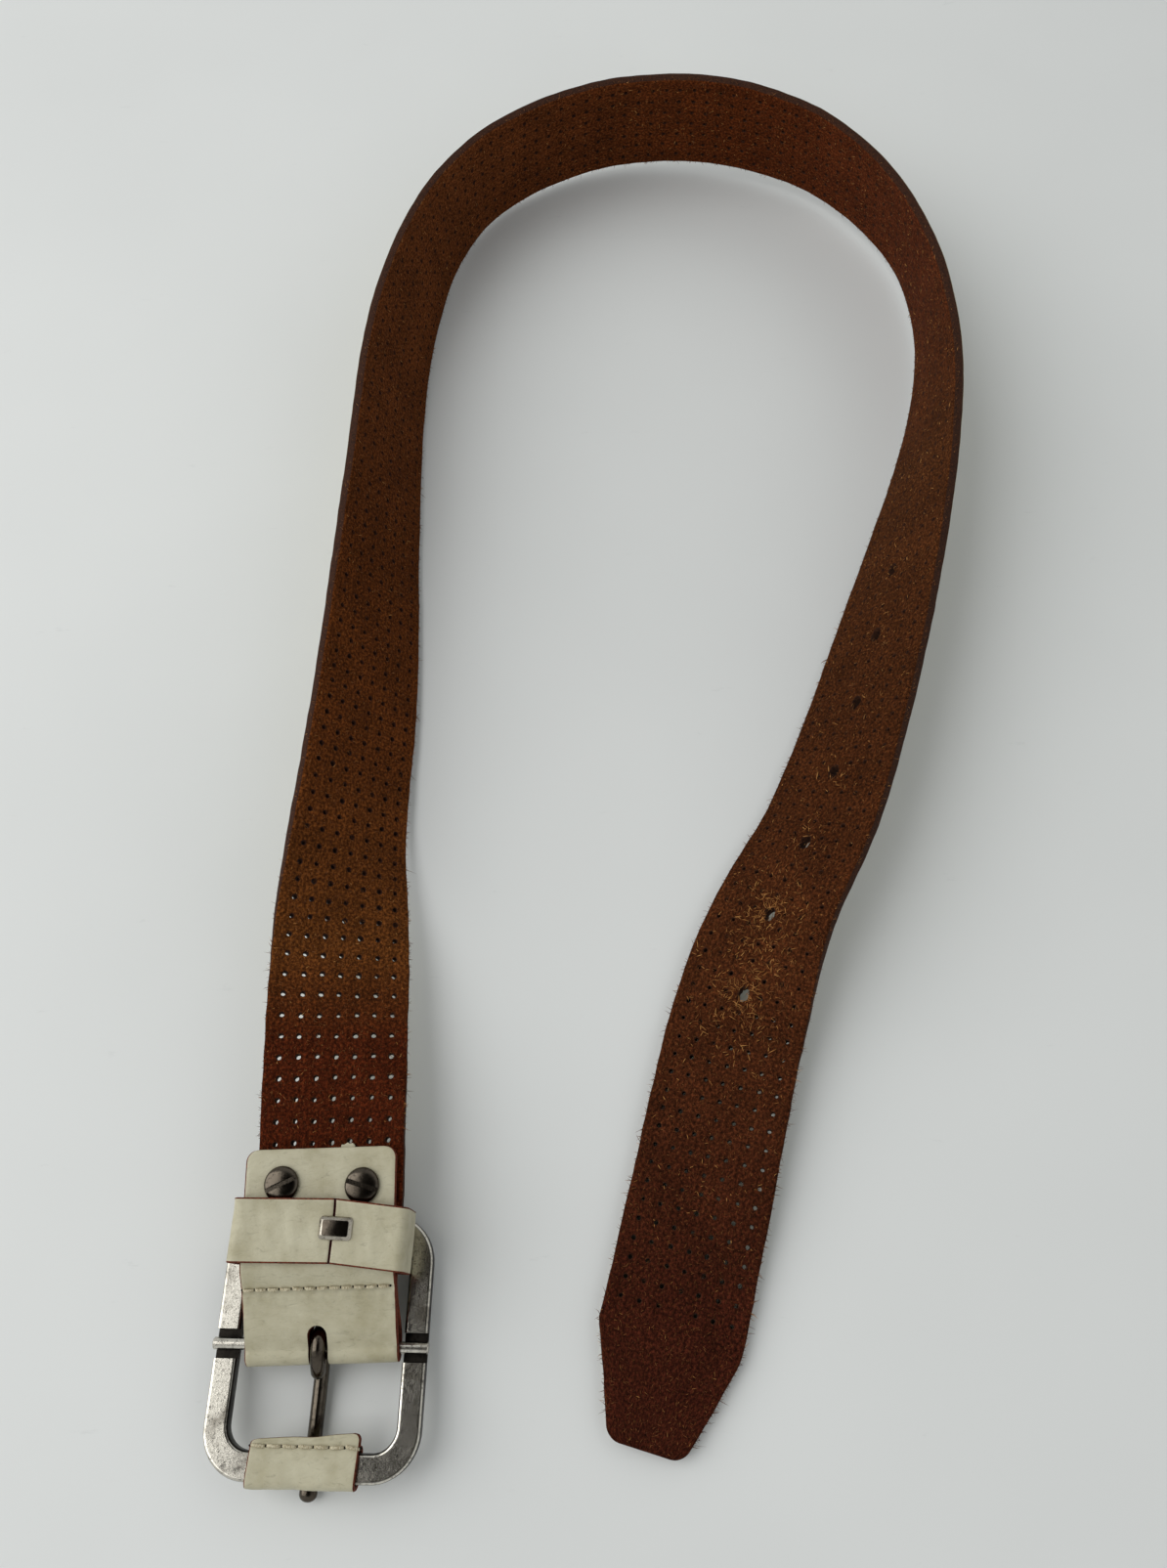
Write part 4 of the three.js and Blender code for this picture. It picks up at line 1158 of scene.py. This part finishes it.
def make_keeper():
    top = KEEPER_CEILING + KEEPER_WALL / 2

    def relief(y, mark, side):
        if side != 1:
            return 0.0
        crease = 0.10 * float(wobble(np.array(y / 6.0), np.array(mark / 1.3), 21))
        edge = -0.10 * (abs(y) / (KEEPER_BAND / 2)) ** 4
        return crease + edge

    def place(points):
        y, x, z = np.asarray(points, float).T
        share = np.clip((z - KEEPER_FLOOR) / (top - KEEPER_FLOOR), 0, 1)
        run = x - KEEPER_SEAM_X
        bend = 2.05 + np.where(run < 0, 0.046, -0.056) * run
        narrow = np.where(x > 0, 0.93, 1.0)
        curl = np.clip((y - 3.5) / 4, 0, 1) ** 2 * 1.1 * np.clip((z - KEEPER_CEILING + 3) / 3, 0, 1)
        return keeper_place(np.stack([x * narrow, y + share * bend, z + curl], axis=1))

    keeper = strip_piece("keeper_leather", keeper_line(), KEEPER_WALL, lambda mark, length: KEEPER_BAND / 2,
                         20, place, relief, [CREAM, RAW_INSIDE, RAW_EDGE, SEAM_PAINT], rim=0.4)
    seam_low, seam_high = keeper_place([(KEEPER_SEAM_X * 0.93, -8, top), (KEEPER_SEAM_X * 0.93, 8, top)])
    skew = math.radians(KEEPER_SEAM_SKEW)
    across_seam = np.array([math.cos(skew), math.sin(skew), 0])
    middle = (seam_low + seam_high) / 2
    for face in keeper.data.polygons:
        off = abs(float((np.array(face.center) - middle) @ across_seam))
        if off < 0.38 * MM and face.center.z > (KEEPER_CEILING - 0.3) * MM:
            face.material_index = 3
    sharpen(keeper, 55)
    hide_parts("keeper_loop")
    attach(keeper, "keeper")
    return keeper


def make_staple():
    """The clinched staple over the butt seam: a flat plate with wide bevels."""
    width, length, height = STAPLE_SIZE
    levels = [(0, 0, 1.0), (0, 0.25, 1.1), (0.12, 0.42, 1.2), (0.75, 0.93, 0.7), (0.95, 1.0, 0.5)]
    rings = [rounded_rectangle(width - 2 * inset, length - 2 * inset, radius, 5, 4)
             for inset, _, radius in levels]
    base = KEEPER_CEILING + KEEPER_WALL + 0.1
    points = [(STAPLE_X - 0.2 + x, STAPLE_Y + 1.5 + y, base + share * height)
              for ring, (_, share, _) in zip(rings, levels) for x, y in ring]
    faces = tube_faces(len(rings), len(rings[0]))
    # The flat top of the staple gets the darker nickel: a painted dark reflection on its face.
    indices = [0] * (len(faces) - 1) + [1]
    staple = make_object("staple_plate", keeper_place(points), faces, [STAPLE_METAL, DARK_NICKEL], indices)
    sharpen(staple, 30)
    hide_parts("keeper_staple")
    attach(staple, "keeper")
    return staple


# ------------------------------------------------------------------ buckle


def make_frame():
    length = FRAME_FORE + FRAME_AFT
    middle_v = (FRAME_AFT - FRAME_FORE) / 2
    arc = np.radians([0, 30, 60, 90])
    turns = [(FRAME_RIM - FRAME_RIM * math.cos(a), FRAME_RIM - FRAME_RIM * math.sin(a)) for a in arc]
    turns.append((FRAME_RIM + 0.2, 0))
    outside = [(inset, FRAME_BACK - drop) for inset, drop in turns]
    outside_low = [(inset, FRAME_FRONT + drop) for inset, drop in reversed(turns)]
    window = (FRAME_WIDTH - 2 * FRAME_RAIL, length - 2 * FRAME_END)

    def outer(inset):
        return rounded_rectangle(FRAME_WIDTH - 2 * inset, length - 2 * inset, FRAME_CORNER - inset, 14, 24)

    def inner(inset):
        return rounded_rectangle(window[0] + 2 * inset, window[1] + 2 * inset, WINDOW_CORNER + inset, 14, 24)

    rings = [(outer(inset), w) for inset, w in outside]
    rings += [(inner(inset), w) for inset, w in reversed(outside)]
    rings += [(inner(inset), w) for inset, w in reversed(outside_low)]
    rings += [(outer(inset), w) for inset, w in outside_low]
    count = len(rings[0][0])
    points = [(x, y + middle_v, w) for ring, w in rings for x, y in ring]
    faces, indices = [], []
    bright_bands = {*range(1, 7), *range(12, 17)}  # bands of the two flat faces keep the bright nickel; the walls and the rims beside them get a darker nickel, which is painted shade
    for i in range(len(rings)):
        j = (i + 1) % len(rings)
        faces += [(i * count + k, i * count + (k + 1) % count, j * count + (k + 1) % count, j * count + k)
                  for k in range(count)]
        indices += [0 if i in bright_bands else 1] * count
    ring = make_object("frame_metal", buckle_place(points), faces, [NICKEL, SHADE_NICKEL], indices)
    cutters = []
    for side in (-1, 1):
        x = side * (FRAME_WIDTH - FRAME_RAIL) / 2
        half = FRAME_RAIL / 2 + 2
        outline = [(x - half, -NOTCH_LENGTH / 2), (x + half, -NOTCH_LENGTH / 2), (x + half, NOTCH_LENGTH / 2),
                   (x - half, NOTCH_LENGTH / 2)]
        # The notch cuts get the darker nickel: painted shade in the notches.
        cutters.append(prism(outline, -BAR_RADIUS - 0.3, 5, buckle_place, [NICKEL, SHADE_NICKEL], 1))
    cut_away(ring, cutters)
    sharpen(ring, 40)
    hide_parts("buckle_frame")
    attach(ring, "buckle")
    return ring


def make_bar():
    half = BAR_LENGTH / 2
    line, radii = [], []
    for x, radius in ((-half, 1.2), (-half + 0.3, 1.5), (0, 1.5), (half - 0.3, 1.5), (half, 1.2)):
        line.append((0, x, 0))
        radii.append(radius)

    def place(points):
        points = np.asarray(points, float)
        return bar_place(np.stack([points[:, 1], points[:, 0], points[:, 2]], axis=1))

    bar = tube_piece("bar_metal", line, radii, 32, place, [NICKEL])
    sharpen(bar, 35)
    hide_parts("centre_bar")
    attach(bar, "buckle")
    return bar


def make_prong():
    hook = BAR_RADIUS + 0.3 + PRONG_RADIUS
    level = PRONG_RADIUS - BAR_Z + 0.05
    path = [(-PRONG_TAIL_Y, 0.1), (-PRONG_TAIL_Y + 2.2, 2.1)]
    path += [(hook * math.cos(a), hook * math.sin(a)) for a in np.radians(range(100, -101, -25))]
    path += [(-PRONG_DROP_Y * 0.45, -hook + (level + hook) * 0.55), (-PRONG_DROP_Y, level)]
    path += [(-(PRONG_REACH + PRONG_DROP_Y) / 2, level), (-PRONG_REACH + PRONG_RADIUS, level)]
    line = curve_through(path, 8)
    line, _ = resample(line, 0.7)
    end = line[-1]
    radii = [PRONG_RADIUS] * len(line)
    radii[0] = PRONG_RADIUS * 0.86
    caps = [0.3, 0.6, 0.8, 0.93, 0.99]
    line = np.vstack([line, [(end[0] - PRONG_RADIUS * c, end[1]) for c in caps]])
    radii += [PRONG_RADIUS * math.sqrt(1 - c ** 2) for c in caps]
    points = np.column_stack([np.zeros(len(line)), line])

    def place(points):
        """The last of the wire is hammered a little wider, and the shaft leans to one side."""
        x, y, z = np.asarray(points, float).T
        beyond = np.clip((-y - PRONG_REACH + 7) / 5, 0, 1)
        lean = 0.9 * np.clip((-y - 6) / 25, 0, 1) * np.where(z < 0, 1, 0)
        return bar_place(np.stack([x * (1 + 0.22 * beyond) - lean, y, z], axis=1))

    prong = tube_piece("prong_wire", points, radii, 24, place, [DARK_NICKEL])
    sharpen(prong, 50)
    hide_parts("prong")
    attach(prong, "prong")
    return prong


def make_wrap():
    """Leather round the free end bar, both its ends stitched together as a flap."""
    line = curve_through([
        (WRAP_EDGE_V, 1.3), (-21.2, 1.25), (-23.2, 1.5), (-25.5, 1.62), (-30, 1.62), (-31.2, 1.2),
        (-31.7, 0.1), (-31.7, -3.3), (-31.2, -4.35), (-30.1, -4.7), (-25, -4.7), (-23.8, -4.4),
        (-23.2, -3.4), (-23.1, -1.5), (-22.4, -0.2), (-21.0, 0.05), (WRAP_EDGE_V, 0.05),
    ], 6)

    def half_width(mark, length):
        inside = max(0.0, WRAP_CORNER - min(mark, length - mark))
        return WRAP_LENGTH / 2 - (WRAP_CORNER - math.sqrt(WRAP_CORNER ** 2 - inside ** 2))

    def relief(x, mark, side):
        if side != 1:
            return 0.0
        groove = -0.22 * math.exp(-((mark - 3.4) / 0.7) ** 2)
        dent = -0.55 * math.exp(-((x + 1.5) / 2.6) ** 2 - ((mark - 11.6) / 2.0) ** 2)
        crease = 0.10 * float(wobble(np.array(x / 2.2), np.array(mark * 1.1), 31))
        return groove + dent + crease

    def place(points):
        x, v, w = np.asarray(points, float).T
        x = 0.96 * x + WRAP_X - 0.25 + 0.05 * (v - WRAP_SEAM_V)
        flap = np.clip((v - WRAP_SEAM_V) / (WRAP_EDGE_V - WRAP_SEAM_V), 0, 1)
        slant = flap * (2.0 * (0.5 - x / WRAP_LENGTH) + 0.35 * np.exp(-((x - 1.0) / 4) ** 2))
        return buckle_place(np.stack([x, v - slant, w + 0.25 * flap * np.sin(x / 3.0)], axis=1))

    wrap = strip_piece("wrap_leather", line, WRAP_THICK, half_width, 36, place, relief,
                       [CREAM, RAW_INSIDE, RAW_EDGE], rim=0.3, step=0.45)
    sharpen(wrap, 55)
    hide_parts("bar_wrap")
    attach(wrap, "buckle")

    return wrap


def make_wrap_stitches():
    row = np.array([WRAP_X, WRAP_SEAM_V, 1.3 + WRAP_THICK / 2])

    def place(points):
        return buckle_place(np.asarray(points, float) + row)

    return stitch_row("wrap_stitches", WRAP_LENGTH - 0.5, WRAP_STITCH, place, "wrap_thread", "buckle")


def finish_posts():
    """The screws' other halves, under the belt, keep their CAD shape."""
    for name in ("screw_post_left", "screw_post_right"):
        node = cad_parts[name]
        node.data.materials.clear()
        node.data.materials.append(DARK_NICKEL)
        node.data.polygons.foreach_set("use_smooth", np.full(len(node.data.polygons), True))
        node.data.set_sharp_from_angle(angle=math.radians(40))


# ------------------------------------------------------------------ table, camera, lights


def make_floor():
    corners = [(TABLE_HALF * x, TABLE_HALF * y, TABLE_Z) for x, y in ((-1, -1), (1, -1), (1, 1), (-1, 1))]
    mesh = bpy.data.meshes.new("table")
    mesh.from_pydata(corners, [], [(0, 1, 2, 3)])
    mesh.materials.append(floor_material())
    table = bpy.data.objects.new("table", mesh)
    bpy.context.scene.collection.objects.link(table)


def make_camera():
    """Held over the middle of the loop, tipped a little towards its far end."""
    tilt, roll = math.radians(CAMERA_TILT), math.radians(CAMERA_ROLL)
    right = Vector((1, 0, 0))
    up = Vector((0, math.cos(tilt), math.sin(tilt)))
    view = Vector((0, math.sin(tilt), -math.cos(tilt)))
    x_axis = math.cos(roll) * right + math.sin(roll) * up
    y_axis = -math.sin(roll) * right + math.cos(roll) * up
    matrix = Matrix((x_axis, y_axis, -view)).transposed().to_4x4()
    matrix.translation = Vector(to_row((0, 0, CAMERA_HEIGHT)))
    data = bpy.data.cameras.new("camera")
    data.sensor_width = CAMERA_SENSOR
    data.lens = CAMERA_LENS
    data.clip_start = 0.01
    camera = bpy.data.objects.new("camera", data)
    camera.matrix_world = matrix
    bpy.context.scene.collection.objects.link(camera)
    bpy.context.scene.camera = camera


def make_key_light():
    """A big soft panel to the upper left."""
    data = bpy.data.lights.new("key", "AREA")
    data.shape = "RECTANGLE"
    data.size, data.size_y = KEY_SIZE
    data.energy = KEY_POWER
    data.color = KEY_COLOUR
    light = bpy.data.objects.new("key", data)
    light.location = KEY_PLACE
    light.rotation_mode = "QUATERNION"
    light.rotation_quaternion = (Vector(KEY_TARGET) - Vector(KEY_PLACE)).to_track_quat("-Z", "Y")
    bpy.context.scene.collection.objects.link(light)


def make_room():
    """A pale room with a dark patch overhead, for whoever stands over the table."""
    world = bpy.data.worlds.new("room")
    world.use_nodes = True
    tree = world.node_tree
    background = tree.nodes["Background"]
    background.inputs["Strength"].default_value = 1.0
    coordinates = tree.nodes.new("ShaderNodeTexCoord")
    facing = tree.nodes.new("ShaderNodeVectorMath")
    facing.operation = "DOT_PRODUCT"
    facing.inputs[1].default_value = Vector(SHADE_TOWARDS).normalized()
    spread = tree.nodes.new("ShaderNodeMapRange")
    spread.interpolation_type = "SMOOTHSTEP"
    spread.inputs["From Min"].default_value, spread.inputs["From Max"].default_value = SHADE_EDGE
    shade = tree.nodes.new("ShaderNodeMix")
    shade.data_type = "RGBA"
    shade.inputs[6].default_value = (*ROOM_COLOUR, 1)
    shade.inputs[7].default_value = (*SHADE_COLOUR, 1)
    tree.links.new(coordinates.outputs["Generated"], facing.inputs[0])
    tree.links.new(facing.outputs["Value"], spread.inputs["Value"])
    tree.links.new(spread.outputs["Result"], shade.inputs[0])
    tree.links.new(shade.outputs[2], background.inputs["Color"])
    bpy.context.scene.world = world
    bpy.context.scene.view_settings.view_transform = "Standard"


# ------------------------------------------------------------------ the scene

make_camera()
make_floor()
make_key_light()
make_room()

strap = make_strap()
make_nap()
make_edge_fuzz()
make_torn_fibres()
make_tab()
make_tab_stitches()
make_tab_scrap()
for screw_side, screw_turn, screw_node in zip((-1, 1), SCREW_TURNS, ("screw_left", "screw_right")):
    make_screw(screw_side, screw_turn, screw_node)
make_keeper()
make_staple()
make_frame()
make_bar()
make_prong()
make_wrap()
make_wrap_stitches()
finish_posts()
